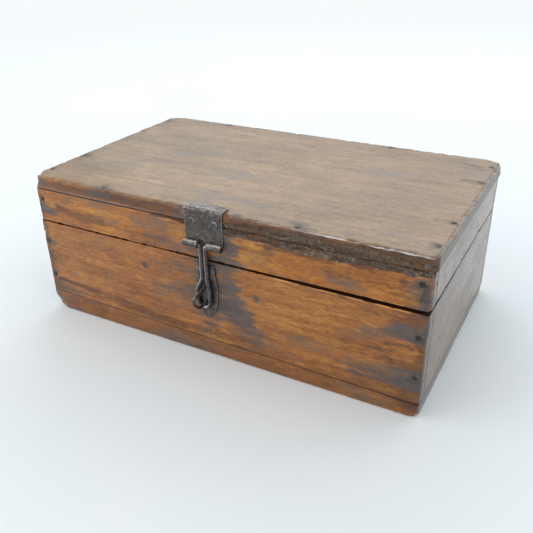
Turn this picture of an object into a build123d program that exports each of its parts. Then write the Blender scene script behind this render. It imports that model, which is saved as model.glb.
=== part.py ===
from build123d import *
import math
import os

# A small hardwood chest with a hinged lid, a wrought hasp and a staple for a padlock.
# Millimetres, +X to the chest's right, -Y to its front, +Z up.
# The origin is the centre of the bottom board's underside, where the chest stands.

# ---------------------------------------------------------------- driving dimensions
# Box and lid
chest_width = 400.0
chest_depth = 240.0
box_height = 101.0
lid_height = 47.6
seam_gap = 0.3  # between the box's rim and the closed lid
lid_overhang = 1.5  # the lid is this much longer than the box at each end

# Boards
wall_thickness = 13.0
rail_thickness = 13.0
bottom_thickness_left = 20.5  # the bottom was planed to a taper
bottom_thickness_right = 14.5
top_thickness = 13.0

# Rounding left by planing and handling
corner_radius = 3.0  # upright corners of the box
lid_corner_radius = 5.0  # upright corners of the lid
top_edge_radius = 3.0
arris = 1.0  # outer edges along the seam, taken off with a plane
foot_radius = 4.0  # lower edge at the right end
worn_foot_radius = 8.0  # lower edge at the left end, worn round

# Forged nails that hold the boards
nail_length = 36.0
nail_head_radius = 3.2
nail_head_sides = 6
nail_head_thickness = 1.4
nail_shank = 2.8
nail_point = 1.4
nail_fit = 0.05  # between a nail and its hole
nail_gap = 0.5  # between two nails that pass each other inside a rail

# Where those nails are driven
top_nail_inset = 101.5  # along the front and back rails, from the lid's ends
top_nail_shift = -14.0  # both are this far off centre
end_nail_inset = 57.0  # along the end rails, from their ends
end_corner_nail_inset = 10.0
wall_nail_pitch = 39.0  # up each corner of the box
rail_nail_height = 24.0  # up each corner of the lid, from its lower edge
bottom_nail_inset = 50.0  # along the front and back, from the box's ends
bottom_nail_count = 4
bottom_end_nail_inset = 65.0  # along the ends, from the front and back

# Wrought sheet and its nails
sheet_thickness = 1.8
plate_nail_length = 12.0
plate_nail_head_sides = 8
plate_nail_head_radius = 3.3
plate_nail_crown_radius = 2.6  # where the head stands highest, round its hollow
plate_nail_hollow_radius = 1.8
plate_nail_hollow_floor = 1.0
plate_nail_hollow = 0.5  # how deep the hammer left the middle
plate_nail_rise = 1.1
plate_nail_rim = 0.35
plate_nail_shank = 2.4
plate_nail_point = 1.2
flush_head_thickness = 0.9
roll_seam = 0.4  # slot that stays open where a rolled knuckle comes back to its leaf

# Hasp plate, folded over the front edge of the lid
hasp_plate_width = 39.0
hasp_plate_fold = 11.0  # the leg that lies on the lid's top
fold_radius = 2.6
knuckle_drop = 31.6  # lid's top down to the axis of the hasp's knuckles
hasp_plate_nail_spread = 23.0
hasp_plate_nail_drop = 10.9  # lid's top down to the two nails

# Hasp: one rod bent double
rod_radius = 2.1
rod_facets = 8
hammer_loss = 0.05  # the legs and the eye are hammered this much thinner than the round arms
running_clearance = 0.1  # between a pin and its knuckle
arm_setback = 2.0  # the rod's ends stop short of the knuckles' outer ends
arm_bend_inside = 0.5  # radius inside the bend from arm to leg
leg_gap = 0.6  # between the two legs
neck_length = 32.5  # from the axis to where the legs part
shoulder_length = 12.5  # from there to where the eye is at its full width
eye_length = 17.6  # from there to the middle of the rod at the eye's foot
eye_opening = 8.8
eye_lean = 2.2  # the legs are bent a little, and the eye hangs this far to the left
eye_flat = 0.4  # straight part at the eye's foot
shoulder_bend_radius = 9.0

# Staple
staple_radius = 1.6
staple_facets = 8
staple_foot_room = 1.6  # inside the eye, below the staple
staple_leg_spacing = 16.0
staple_reach = 23.5  # from the box's front to the middle of the wire at the nose
staple_heel = 15.5  # straight part of the lower leg outside the box
staple_collar = 4.0  # straight part of the upper leg outside the box
staple_nose_drop = 3.0  # from the upper leg's level down to the top of the nose
staple_nose_setback = 2.0
staple_clench = 9.0  # ends bent over on the inside of the front board
staple_clearance = 0.1
clench_bend_inside = 0.4
nose_bend_inside = 1.4
heel_bend_inside = 3.4

# Staple plate, measured up and down from the middle of the staple
staple_plate_rise = 29.5
staple_plate_top_width = 16.4
staple_plate_belly = 2.0
staple_plate_width = 23.2
staple_plate_tip_rise = 3.0  # height of the pointed tip
staple_plate_tip_width = 9.0
staple_plate_tip_radius = 5.0
staple_plate_drop = 25.5
staple_plate_nail_spread = 9.0
staple_plate_nail_inset = 5.9  # from the plate's top

# Hinges on the back
hinge_inset = 80.0  # from the box's ends to the hinges' middles
hinge_width = 44.0
hinge_middle_knuckle = 17.0
hinge_end_play = 0.4
hinge_clearance = 0.3  # between a knuckle and the wood behind it
pin_radius = 2.0
pin_head_radius = 3.0
pin_head_thickness = 1.4
leaf_length = 31.0
leaf_end_width = 26.0
leaf_corner_radius = 7.0
leaf_nail_spread = 26.0
leaf_nail_margin = 6.7  # from the nails to the leaf's end and to the knuckles

# ---------------------------------------------------------------- levels and lines that follow from them
front_face = chest_depth / 2
lid_width = chest_width + 2 * lid_overhang
bottom_middle = (bottom_thickness_left + bottom_thickness_right) / 2
bottom_slope = (bottom_thickness_right - bottom_thickness_left) / chest_width
lid_bottom = box_height + seam_gap
lid_top = lid_bottom + lid_height
rail_top = lid_top - top_thickness
rail_height = rail_top - lid_bottom
seam_middle = box_height + seam_gap / 2

wall_line_x = (chest_width - wall_thickness) / 2
wall_line_y = (chest_depth - wall_thickness) / 2
rail_line_x = (lid_width - rail_thickness) / 2
rail_line_y = (chest_depth - rail_thickness) / 2
side_board_length = chest_depth - 2 * wall_thickness
side_rail_length = chest_depth - 2 * rail_thickness

leg_spacing = 2 * rod_radius + leg_gap
eye_spacing = 2 * rod_radius + eye_opening
arm_bend_radius = rod_radius + arm_bend_inside
knuckle_opening = leg_spacing + 2 * arm_bend_radius
hasp_bore_radius = rod_radius + running_clearance
hasp_knuckle_radius = hasp_bore_radius + sheet_thickness
hasp_knuckle_length = (hasp_plate_width - knuckle_opening) / 2
hasp_knuckle_middle = (knuckle_opening + hasp_knuckle_length) / 2
hasp_axis_y = -front_face - hasp_knuckle_radius
hasp_axis_z = lid_top - knuckle_drop
eye_foot = hasp_axis_z - neck_length - shoulder_length - eye_length

clench_bend_radius = staple_radius + clench_bend_inside
nose_bend_radius = staple_radius + nose_bend_inside
heel_bend_radius = staple_radius + heel_bend_inside
staple_lower = eye_foot + rod_radius + staple_foot_room + staple_radius
staple_upper = staple_lower + staple_leg_spacing
staple_middle = (staple_lower + staple_upper) / 2
staple_inner_y = -front_face + wall_thickness + clench_bend_radius

hinge_bore_radius = pin_radius + running_clearance
hinge_knuckle_radius = hinge_bore_radius + sheet_thickness
hinge_leaf_offset = hinge_clearance + hinge_knuckle_radius  # hinge's axis to the wood
hinge_axis_y = front_face + hinge_leaf_offset
hinge_relief = hinge_knuckle_radius + hinge_end_play  # hinge's axis to the full leaf
hinge_outer_knuckle = (hinge_width - hinge_middle_knuckle) / 2 - hinge_end_play
hinge_outer_middle = (hinge_width - hinge_outer_knuckle) / 2
hinge_middles = [hinge_inset - chest_width / 2, chest_width / 2 - hinge_inset]

pieces = {}  # node name to its finished builder


# ---------------------------------------------------------------- forms that are used more than once
def facing_front(x, z, out=0.0):
    """A plane on the front of the chest, seen from outside, at x and z and this far out."""
    return Plane(origin=(x, -front_face - out, z), x_dir=(1, 0, 0), z_dir=(0, -1, 0))


def facing_back(x, z, out=0.0):
    """A plane on the back of the chest, seen from outside, at x and z and this far out."""
    return Plane(origin=(x, front_face + out, z), x_dir=(-1, 0, 0), z_dir=(0, 1, 0))


def wall_outline(x_low, x_high):
    """The XZ corners of a wall between x_low and x_high, from the sloping bottom board to the rim."""
    return [
        (x_low, bottom_middle + bottom_slope * x_low),
        (x_high, bottom_middle + bottom_slope * x_high),
        (x_high, box_height),
        (x_low, box_height),
    ]


def taper_angle(shank, point, length):
    """Degrees by which each side of a square shank leans in on its way to the point."""
    return math.degrees(math.atan((shank - point) / 2 / length))


def forged_nail(length, head_sides, head_radius, head_thickness, shank, point, grow=0.0):
    """A nail along -Z: a faceted head flush with Z=0 and a square shank drawn to a point."""
    with BuildPart() as nail:
        with BuildSketch(Plane.XY.offset(grow)):
            RegularPolygon(head_radius + grow, side_count=head_sides)
        extrude(amount=-(head_thickness + 2 * grow))
        with BuildSketch(Plane.XY.offset(-head_thickness / 2)):
            Rectangle(shank + 2 * grow, shank + 2 * grow)
        shank_length = length - head_thickness / 2 + grow
        extrude(amount=-shank_length, taper=taper_angle(shank, point, length))
    return nail.part


def plate_nail_shaft(grow=0.0):
    """The square shank of a plate nail, along -Z from inside its head, or with grow its hole."""
    with BuildPart() as shaft:
        with BuildSketch(Plane.XY.offset(plate_nail_rim)):
            Rectangle(plate_nail_shank + 2 * grow, plate_nail_shank + 2 * grow)
        taper = taper_angle(plate_nail_shank, plate_nail_point, plate_nail_length)
        extrude(amount=-(plate_nail_rim + plate_nail_length + grow), taper=taper)
    return shaft.part


def faceted_cone(low, low_radius, high, high_radius):
    """A frustum along Z with the facets of a plate nail's head."""
    with BuildPart() as cone:
        for level, radius in ((low, low_radius), (high, high_radius)):
            with BuildSketch(Plane.XY.offset(level)):
                RegularPolygon(radius, side_count=plate_nail_head_sides)
        loft(ruled=True)
    return cone.part


def dimpled_nail(rim, crown, hollow, shaft):
    """A plate nail along -Z: on its shaft a low head that stands on Z=0, hollow in the middle."""
    with BuildPart() as nail:
        add(rim)
        add(crown)
        add(hollow, mode=Mode.SUBTRACT)
        add(shaft)
    return nail.part


def rolled_knuckle(length, bore_radius, leaf_offset):
    """
    A sheet's end rolled into a tube about the X axis, centred on the origin.

    The leaf arrives from +Z with its inner face leaf_offset from the axis on the -Y side, and
    the roll comes back to the leaf's outer face, where a narrow slot stays open into the bore.
    """
    outer_radius = bore_radius + sheet_thickness
    slot_middle = -leaf_offset + sheet_thickness + roll_seam / 2
    with BuildPart() as knuckle:
        with BuildSketch(Plane.YZ.offset(-length / 2)):
            Circle(outer_radius)
            with Locations((-leaf_offset + sheet_thickness / 2, 0)):
                Rectangle(sheet_thickness, 2 * sheet_thickness, align=(Align.CENTER, Align.MIN))
            Circle(bore_radius, mode=Mode.SUBTRACT)
            with Locations((slot_middle, roll_seam)):
                Rectangle(roll_seam, outer_radius, align=(Align.CENTER, Align.MIN), mode=Mode.SUBTRACT)
        extrude(amount=length)
    return knuckle.part


def hinge_leaf(knuckle, knuckle_length, knuckle_middles):
    """A tapered leaf that rises from the hinge's axis at the origin, with the wood at -Y."""
    with BuildPart() as leaf:
        with BuildSketch(Plane.XZ.offset(hinge_leaf_offset)) as outline:
            with BuildLine():
                Polyline(
                    (-hinge_width / 2, hinge_relief),
                    (-leaf_end_width / 2, leaf_length),
                    (leaf_end_width / 2, leaf_length),
                    (hinge_width / 2, hinge_relief),
                    close=True,
                )
            make_face()
            fillet(outline.vertices().group_by(Axis.Y)[-1], radius=leaf_corner_radius)
            with Locations(*[(middle, sheet_thickness) for middle in knuckle_middles]):
                strap_height = hinge_relief - sheet_thickness
                Rectangle(knuckle_length, strap_height, align=(Align.CENTER, Align.MIN))
        extrude(amount=-sheet_thickness)
        with Locations(*[(middle, 0, 0) for middle in knuckle_middles]):
            add(knuckle)
    return leaf.part


board_nail_sizes = (
    nail_length,
    nail_head_sides,
    nail_head_radius,
    nail_head_thickness,
    nail_shank,
    nail_point,
)
flush_nail_sizes = (
    plate_nail_length,
    plate_nail_head_sides,
    plate_nail_head_radius,
    flush_head_thickness,
    plate_nail_shank,
    plate_nail_point,
)
board_nail = forged_nail(*board_nail_sizes)
board_nail_hole = forged_nail(*board_nail_sizes, grow=nail_fit)
flush_nail = forged_nail(*flush_nail_sizes)
flush_nail_hole = forged_nail(*flush_nail_sizes, grow=nail_fit)
plate_nail = dimpled_nail(
    rim=faceted_cone(0, plate_nail_head_radius, plate_nail_rim, plate_nail_head_radius),
    crown=faceted_cone(plate_nail_rim, plate_nail_head_radius, plate_nail_rise, plate_nail_crown_radius),
    hollow=faceted_cone(
        plate_nail_rise - plate_nail_hollow,
        plate_nail_hollow_floor,
        plate_nail_rise,
        plate_nail_hollow_radius,
    ),
    shaft=plate_nail_shaft(),
)
plate_nail_hole = plate_nail_shaft(grow=nail_fit)

# ---------------------------------------------------------------- where every nail goes
wall_nail_seats = [
    facing(x * wall_line_x, (bottom_middle + box_height + z * wall_nail_pitch) / 2)
    for facing in (facing_front, facing_back)
    for x in (-1, 1)
    for z in (-1, 1)
]
rail_nail_x = rail_line_x - nail_shank - nail_gap
rail_nail_seats = [
    facing(x * rail_nail_x, lid_bottom + rail_nail_height)
    for facing in (facing_front, facing_back)
    for x in (-1, 1)
]
top_nail_seats = [
    Location((top_nail_shift + x * (lid_width / 2 - top_nail_inset), y * rail_line_y, lid_top))
    for x in (-1, 1)
    for y in (-1, 1)
] + [
    Location((x * rail_line_x, y * (side_rail_length / 2 - inset), lid_top))
    for inset in (end_nail_inset, end_corner_nail_inset)
    for x in (-1, 1)
    for y in (-1, 1)
]
bottom_nail_pitch = (chest_width - 2 * bottom_nail_inset) / (bottom_nail_count - 1)
bottom_nail_seats = [
    Location((bottom_nail_inset - chest_width / 2 + i * bottom_nail_pitch, y * wall_line_y, 0), (180, 0, 0))
    for i in range(bottom_nail_count)
    for y in (-1, 1)
] + [
    Location((x * wall_line_x, y * (chest_depth / 2 - bottom_end_nail_inset), 0), (180, 0, 0))
    for x in (-1, 1)
    for y in (-1, 1)
]
hasp_plate_nail_seats = [
    facing_front(x * hasp_plate_nail_spread / 2, lid_top - hasp_plate_nail_drop, sheet_thickness)
    for x in (-1, 1)
]
staple_plate_nail_z = staple_middle + staple_plate_rise - staple_plate_nail_inset
staple_plate_nail_seats = [
    facing_front(x * staple_plate_nail_spread / 2, staple_plate_nail_z, sheet_thickness) for x in (-1, 1)
]
# Two nails near the knuckles and one near the leaf's end, above the seam and below it.
leaf_nail_places = [
    (-leaf_nail_spread / 2, hinge_relief + leaf_nail_margin),
    (leaf_nail_spread / 2, hinge_relief + leaf_nail_margin),
    (0, leaf_length - leaf_nail_margin),
]
hinge_lid_nail_seats = [
    facing_back(middle + x, seam_middle + rise, sheet_thickness)
    for middle in hinge_middles
    for x, rise in leaf_nail_places
]
hinge_box_nail_seats = [
    facing_back(middle + x, seam_middle - drop, sheet_thickness)
    for middle in hinge_middles
    for x, drop in leaf_nail_places
]

# ---------------------------------------------------------------- box
with BuildPart() as bottom_board:
    with BuildSketch(Plane.XZ.offset(-front_face)) as board_end:
        with BuildLine():
            Polyline(
                (-chest_width / 2, 0),
                (chest_width / 2, 0),
                (chest_width / 2, bottom_thickness_right),
                (-chest_width / 2, bottom_thickness_left),
                close=True,
            )
        make_face()
        feet = board_end.vertices().group_by(Axis.Y)[0].sort_by(Axis.X)
        fillet(feet[0], radius=min(worn_foot_radius, bottom_thickness_left / 2))
        fillet(feet[1], radius=min(foot_radius, bottom_thickness_right / 2))
    extrude(amount=chest_depth)
    # The round runs down each upright corner and along the foot, front and back.
    outline = bottom_board.faces().filter_by(Axis.Y).edges()
    top_line = bottom_board.faces().sort_by(Axis.Z)[-1].edges()
    fillet([edge for edge in outline if edge not in top_line], radius=corner_radius)
    with Locations(bottom_nail_seats):
        add(board_nail_hole, mode=Mode.SUBTRACT)
pieces["bottom_board"] = bottom_board

# The front and back boards run the full width and cover the ends of the side boards.
for name, side in (("front", -1), ("back", 1)):
    with BuildPart() as long_board:
        with BuildSketch(Plane.XZ.offset(-side * wall_line_y - wall_thickness / 2)):
            with BuildLine():
                Polyline(*wall_outline(-chest_width / 2, chest_width / 2), close=True)
            make_face()
        extrude(amount=wall_thickness)
        outer_edges = long_board.edges().filter_by_position(Axis.Y, side * front_face, side * front_face)
        fillet(outer_edges.filter_by(Axis.Z), radius=corner_radius)
        rim = long_board.edges().filter_by(Axis.X).group_by(Axis.Z)[-1]
        chamfer(rim.filter_by_position(Axis.Y, side * front_face, side * front_face), length=arris)
        with Locations(wall_nail_seats + bottom_nail_seats):
            add(board_nail_hole, mode=Mode.SUBTRACT)
        if name == "front":
            with Locations(staple_plate_nail_seats):
                add(flush_nail_hole, mode=Mode.SUBTRACT)
            with BuildSketch(Plane.XZ.offset(front_face)):
                with Locations((0, staple_lower), (0, staple_upper)):
                    Circle(staple_radius + staple_clearance)
            extrude(amount=-wall_thickness, mode=Mode.SUBTRACT)
        else:
            with Locations(hinge_box_nail_seats):
                add(plate_nail_hole, mode=Mode.SUBTRACT)
    pieces[f"box_{name}_board"] = long_board

for name, side in (("left", -1), ("right", 1)):
    with BuildPart() as side_board:
        with BuildSketch(Plane.XZ.offset(-side_board_length / 2)):
            with BuildLine():
                wall_middle = side * wall_line_x
                Polyline(
                    *wall_outline(wall_middle - wall_thickness / 2, wall_middle + wall_thickness / 2),
                    close=True,
                )
            make_face()
        extrude(amount=side_board_length)
        outer_x = side * chest_width / 2
        rim = side_board.edges().filter_by(Axis.Y).group_by(Axis.Z)[-1]
        chamfer(rim.filter_by_position(Axis.X, outer_x, outer_x), length=arris)
        with Locations(wall_nail_seats + bottom_nail_seats):
            add(board_nail_hole, mode=Mode.SUBTRACT)
    pieces[f"box_{name}_board"] = side_board

with BuildPart() as box_corner_nails:
    with Locations(wall_nail_seats):
        add(board_nail)
pieces["box_corner_nails"] = box_corner_nails

with BuildPart() as bottom_nails:
    with Locations(bottom_nail_seats):
        add(board_nail)
pieces["bottom_nails"] = bottom_nails

# ---------------------------------------------------------------- lid
with BuildPart() as lid_top_board:
    with BuildSketch(Plane.XY.offset(rail_top)):
        RectangleRounded(lid_width, chest_depth, lid_corner_radius)
    extrude(amount=top_thickness)
    fillet(lid_top_board.faces().sort_by(Axis.Z)[-1].edges(), radius=top_edge_radius)
    with Locations(top_nail_seats):
        add(board_nail_hole, mode=Mode.SUBTRACT)
    with Locations(hasp_plate_nail_seats):
        add(plate_nail_hole, mode=Mode.SUBTRACT)
pieces["lid_top_board"] = lid_top_board

# The front and back rails run the full length and cover the ends of the end rails.
for name, side, plate_nail_seats in (
    ("front", -1, hasp_plate_nail_seats),
    ("back", 1, hinge_lid_nail_seats),
):
    with BuildPart() as long_rail:
        with BuildSketch(Plane.XY.offset(lid_bottom)):
            with Locations((0, side * rail_line_y)):
                Rectangle(lid_width, rail_thickness)
        extrude(amount=rail_height)
        outer_edges = long_rail.edges().filter_by_position(Axis.Y, side * front_face, side * front_face)
        fillet(outer_edges.filter_by(Axis.Z), radius=lid_corner_radius)
        lower = long_rail.edges().filter_by(Axis.X).group_by(Axis.Z)[0]
        chamfer(lower.filter_by_position(Axis.Y, side * front_face, side * front_face), length=arris)
        with Locations(rail_nail_seats + top_nail_seats):
            add(board_nail_hole, mode=Mode.SUBTRACT)
        with Locations(plate_nail_seats):
            add(plate_nail_hole, mode=Mode.SUBTRACT)
    pieces[f"lid_{name}_rail"] = long_rail

for name, side in (("left", -1), ("right", 1)):
    with BuildPart() as end_rail:
        with BuildSketch(Plane.XY.offset(lid_bottom)):
            with Locations((side * rail_line_x, 0)):
                Rectangle(rail_thickness, side_rail_length)
        extrude(amount=rail_height)
        outer_x = side * lid_width / 2
        lower = end_rail.edges().filter_by(Axis.Y).group_by(Axis.Z)[0]
        chamfer(lower.filter_by_position(Axis.X, outer_x, outer_x), length=arris)
        with Locations(rail_nail_seats + top_nail_seats):
            add(board_nail_hole, mode=Mode.SUBTRACT)
    pieces[f"lid_{name}_rail"] = end_rail

with BuildPart() as lid_top_nails:
    with Locations(top_nail_seats):
        add(board_nail)
pieces["lid_top_nails"] = lid_top_nails

with BuildPart() as lid_corner_nails:
    with Locations(rail_nail_seats):
        add(board_nail)
pieces["lid_corner_nails"] = lid_corner_nails

# ---------------------------------------------------------------- hasp plate, hasp and their nails
hasp_knuckle = rolled_knuckle(hasp_knuckle_length, hasp_bore_radius, hasp_knuckle_radius)

with BuildPart() as hasp_plate:
    # Seen from the end: down the lid's front, and folded back over its top.
    with BuildSketch(Plane.YZ.offset(-hasp_plate_width / 2)) as folded:
        with BuildLine():
            Polyline(
                (-front_face, hasp_axis_z + sheet_thickness),
                (-front_face, lid_top),
                (-front_face + hasp_plate_fold, lid_top),
                (-front_face + hasp_plate_fold, lid_top + sheet_thickness),
                (-front_face - sheet_thickness, lid_top + sheet_thickness),
                (-front_face - sheet_thickness, hasp_axis_z + sheet_thickness),
                close=True,
            )
        make_face()
        outer_corner = folded.vertices().group_by(Axis.X)[0].sort_by(Axis.Y)[-1]
        fillet(outer_corner, radius=fold_radius)
    extrude(amount=hasp_plate_width)
    # The opening between the knuckles, where the hasp's legs come down.
    with BuildSketch(Plane.XZ.offset(front_face)):
        with Locations((0, hasp_axis_z)):
            opening_height = hasp_knuckle_radius + arm_bend_radius
            Rectangle(knuckle_opening, opening_height, align=(Align.CENTER, Align.MIN))
    extrude(amount=sheet_thickness, mode=Mode.SUBTRACT)
    with Locations(*[(x * hasp_knuckle_middle, hasp_axis_y, hasp_axis_z) for x in (-1, 1)]):
        add(hasp_knuckle, rotation=(0, 0, 180))
    with Locations(hasp_plate_nail_seats):
        add(plate_nail_hole, mode=Mode.SUBTRACT)
pieces["hasp_plate"] = hasp_plate

with BuildPart() as hasp_plate_nails:
    with Locations(hasp_plate_nail_seats):
        add(plate_nail)
pieces["hasp_plate_nails"] = hasp_plate_nails

# One rod: an arm in each knuckle, two legs side by side, and the eye where they part.
arm_end = hasp_plate_width / 2 - arm_setback
eye_top = -neck_length - shoulder_length
left_half, right_half = [
    [
        (side * arm_end, 0),
        (side * leg_spacing / 2, 0),
        (side * leg_spacing / 2, -neck_length),
        (side * eye_spacing / 2 - eye_lean, eye_top),
        (side * eye_spacing / 2 - eye_lean, eye_top - eye_length),
    ]
    for side in (-1, 1)
]
foot_bend_radius = (eye_spacing - eye_flat) / 2
half_radii = [arm_bend_radius, shoulder_bend_radius, shoulder_bend_radius, foot_bend_radius]
with BuildPart() as hasp_loop:
    with BuildLine(Plane(origin=(0, hasp_axis_y, hasp_axis_z), x_dir=(1, 0, 0), z_dir=(0, -1, 0))):
        FilletPolyline(
            *left_half,
            *reversed(right_half),
            radius=half_radii + half_radii[::-1],
        )
    with BuildSketch(Plane.YZ.offset(-arm_end)):
        with Locations((hasp_axis_y, hasp_axis_z)):
            RegularPolygon(rod_radius - hammer_loss, side_count=rod_facets)
    sweep()
    for arm_start in (-arm_end, knuckle_opening / 2):
        with BuildSketch(Plane.YZ.offset(arm_start)):
            with Locations((hasp_axis_y, hasp_axis_z)):
                Circle(rod_radius)
        extrude(amount=arm_end - knuckle_opening / 2)
pieces["hasp_loop"] = hasp_loop

# ---------------------------------------------------------------- staple plate, staple and their nails
with BuildPart() as staple_plate:
    with BuildSketch(facing_front(0, staple_middle)) as leaf_shape:
        with BuildLine():
            top_line = Line((0, staple_plate_rise), (staple_plate_top_width / 2, staple_plate_rise))
            upper_side = Line(top_line @ 1, (staple_plate_width / 2, staple_plate_belly))
            tip_corner = (staple_plate_tip_width / 2, staple_plate_tip_rise - staple_plate_drop)
            lower_side = TangentArc(upper_side @ 1, tip_corner, tangent=(0, -1))
            Line(lower_side @ 1, (0, -staple_plate_drop))
            mirror(about=Plane.YZ)
        make_face()
        fillet(leaf_shape.vertices().sort_by(Axis.Y)[0], radius=staple_plate_tip_radius)
    extrude(amount=sheet_thickness)
    with Locations(staple_plate_nail_seats):
        add(flush_nail_hole, mode=Mode.SUBTRACT)
    with BuildSketch(Plane.XZ.offset(front_face)):
        with Locations((0, staple_lower), (0, staple_upper)):
            Circle(staple_radius + staple_clearance)
    extrude(amount=sheet_thickness, mode=Mode.SUBTRACT)
pieces["staple_plate"] = staple_plate

with BuildPart() as staple_plate_nails:
    with Locations(staple_plate_nail_seats):
        add(flush_nail)
pieces["staple_plate_nails"] = staple_plate_nails

# The staple's two ends go through the plate and the front board and are clenched inside.
nose_y = -front_face - staple_reach
half_staple_radii = [clench_bend_radius, heel_bend_radius, nose_bend_radius]
with BuildPart() as hasp_staple:
    with BuildLine(Plane.YZ):
        FilletPolyline(
            (staple_inner_y, staple_lower - staple_clench),
            (staple_inner_y, staple_lower),
            (-front_face - staple_heel, staple_lower),
            (nose_y, staple_middle),
            (nose_y + staple_nose_setback, staple_upper - staple_nose_drop),
            (-front_face - staple_collar, staple_upper),
            (staple_inner_y, staple_upper),
            (staple_inner_y, staple_upper + staple_clench),
            radius=half_staple_radii + half_staple_radii[::-1],
        )
    with BuildSketch(Plane.XY.offset(staple_lower - staple_clench)):
        with Locations((0, staple_inner_y)):
            RegularPolygon(staple_radius, side_count=staple_facets)
    sweep()
pieces["hasp_staple"] = hasp_staple

# ---------------------------------------------------------------- hinges
# The lid's leaf has the middle knuckle, and the box's leaf the two beside it.
middle_knuckle = rolled_knuckle(hinge_middle_knuckle, hinge_bore_radius, hinge_leaf_offset)
outer_knuckle = rolled_knuckle(hinge_outer_knuckle, hinge_bore_radius, hinge_leaf_offset)
lid_leaf = hinge_leaf(middle_knuckle, hinge_middle_knuckle, [0])
box_leaf = hinge_leaf(outer_knuckle, hinge_outer_knuckle, [-hinge_outer_middle, hinge_outer_middle])

for name, middle in zip(("left", "right"), hinge_middles):
    with BuildPart() as lid_hinge_leaf:
        with Locations((middle, hinge_axis_y, seam_middle)):
            add(lid_leaf)
        with Locations(hinge_lid_nail_seats):
            add(plate_nail_hole, mode=Mode.SUBTRACT)
    pieces[f"{name}_hinge_lid_leaf"] = lid_hinge_leaf

    with BuildPart() as box_hinge_leaf:
        with Locations((middle, hinge_axis_y, seam_middle)):
            add(box_leaf, rotation=(0, 180, 0))
        with Locations(hinge_box_nail_seats):
            add(plate_nail_hole, mode=Mode.SUBTRACT)
    pieces[f"{name}_hinge_box_leaf"] = box_hinge_leaf

    # A plain pin, its ends hammered over to heads.
    with BuildPart() as hinge_pin:
        with BuildSketch(Plane.YZ.offset(middle - hinge_width / 2 - hinge_end_play)):
            with Locations((hinge_axis_y, seam_middle)):
                Circle(pin_radius)
        extrude(amount=hinge_width + 2 * hinge_end_play)
        for end in hinge_pin.faces().filter_by(GeomType.PLANE):
            with BuildSketch(Plane(end)):
                RegularPolygon(pin_head_radius, side_count=plate_nail_head_sides)
            extrude(amount=pin_head_thickness)
    pieces[f"{name}_hinge_pin"] = hinge_pin

for name, seats in (("lid", hinge_lid_nail_seats), ("box", hinge_box_nail_seats)):
    with BuildPart() as hinge_nails:
        with Locations(seats):
            add(plate_nail)
    pieces[f"hinge_{name}_nails"] = hinge_nails

# ---------------------------------------------------------------- one file per node
os.makedirs("parts", exist_ok=True)
for name, piece in pieces.items():
    piece.part.label = name
    export_step(piece.part, f"parts/{name}.step")
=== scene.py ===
"""Looks for a small hardwood chest with a hinged lid, a wrought hasp and a staple.

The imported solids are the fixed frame. Boards, nails and ironwork are laid over them as worn surfaces.
Lengths are in millimetres until a mesh is made: +X to the chest's right, -Y to its front, +Z up.
"""

import logging
import math
from collections.abc import Callable, Sequence
from dataclasses import dataclass, field
from enum import Enum

import bpy
import numpy as np
from mathutils import Matrix, Vector


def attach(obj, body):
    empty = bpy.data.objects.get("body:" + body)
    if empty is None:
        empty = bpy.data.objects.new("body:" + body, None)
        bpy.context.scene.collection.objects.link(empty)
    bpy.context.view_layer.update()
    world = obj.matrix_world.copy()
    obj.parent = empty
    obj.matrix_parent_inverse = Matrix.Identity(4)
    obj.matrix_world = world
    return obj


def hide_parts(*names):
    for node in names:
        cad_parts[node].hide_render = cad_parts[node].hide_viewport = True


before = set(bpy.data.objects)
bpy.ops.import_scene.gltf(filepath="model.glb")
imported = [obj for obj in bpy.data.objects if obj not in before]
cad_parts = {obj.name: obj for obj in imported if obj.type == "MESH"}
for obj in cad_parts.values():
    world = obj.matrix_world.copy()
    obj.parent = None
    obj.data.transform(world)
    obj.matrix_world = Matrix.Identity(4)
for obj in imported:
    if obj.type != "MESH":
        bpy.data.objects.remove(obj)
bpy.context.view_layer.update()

Array = np.ndarray
Colour = tuple[float, float, float, float]
Point = tuple[float, float, float]
Socket = bpy.types.NodeSocket
Sockets = bpy.types.bpy_prop_collection

MILLIMETRE = 0.001
TINY = 1e-12  # stands in for a length of 0 under a division

log = logging.getLogger("chest")


class Side(Enum):
    """A board's six faces, each as the axis it looks along and the end of that axis."""

    LEFT = (0, 0)
    RIGHT = (0, 1)
    FRONT = (1, 0)
    BACK = (1, 1)
    UNDER = (2, 0)
    TOP = (2, 1)


class Grain(Enum):
    """Which way a board's fibres run, as a turn about Z that lays them along X."""

    ALONG_WIDTH = 0.0
    ALONG_DEPTH = math.pi / 2


class Plane(Enum):
    """The flat in which a rod or a folded sheet is bent: its two axes and the axis across it."""

    FRONT = (0, 2, 1)
    SECTION = (1, 2, 0)


class Body(Enum):
    """The moving bodies of the part."""

    BOX = "box"
    LID = "lid"
    HASP = "hasp"


class Slot(Enum):
    """The record's material slots."""

    LID_TOP = "lid_top_wood"
    LID_RAIL = "lid_rail_wood"
    BOX = "box_wood"
    BOTTOM = "bottom_wood"
    NAIL = "nail_iron"
    IRON = "wrought_iron"


# ---- fields


def ease(low: float, high: float, values: Array) -> Array:
    """A smooth step: 0 where values reach low, 1 where they reach high, 3t^2 - 2t^3 between."""
    share = np.clip((values - low) / (high - low), 0.0, 1.0)
    return share * share * (3.0 - 2.0 * share)


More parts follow.
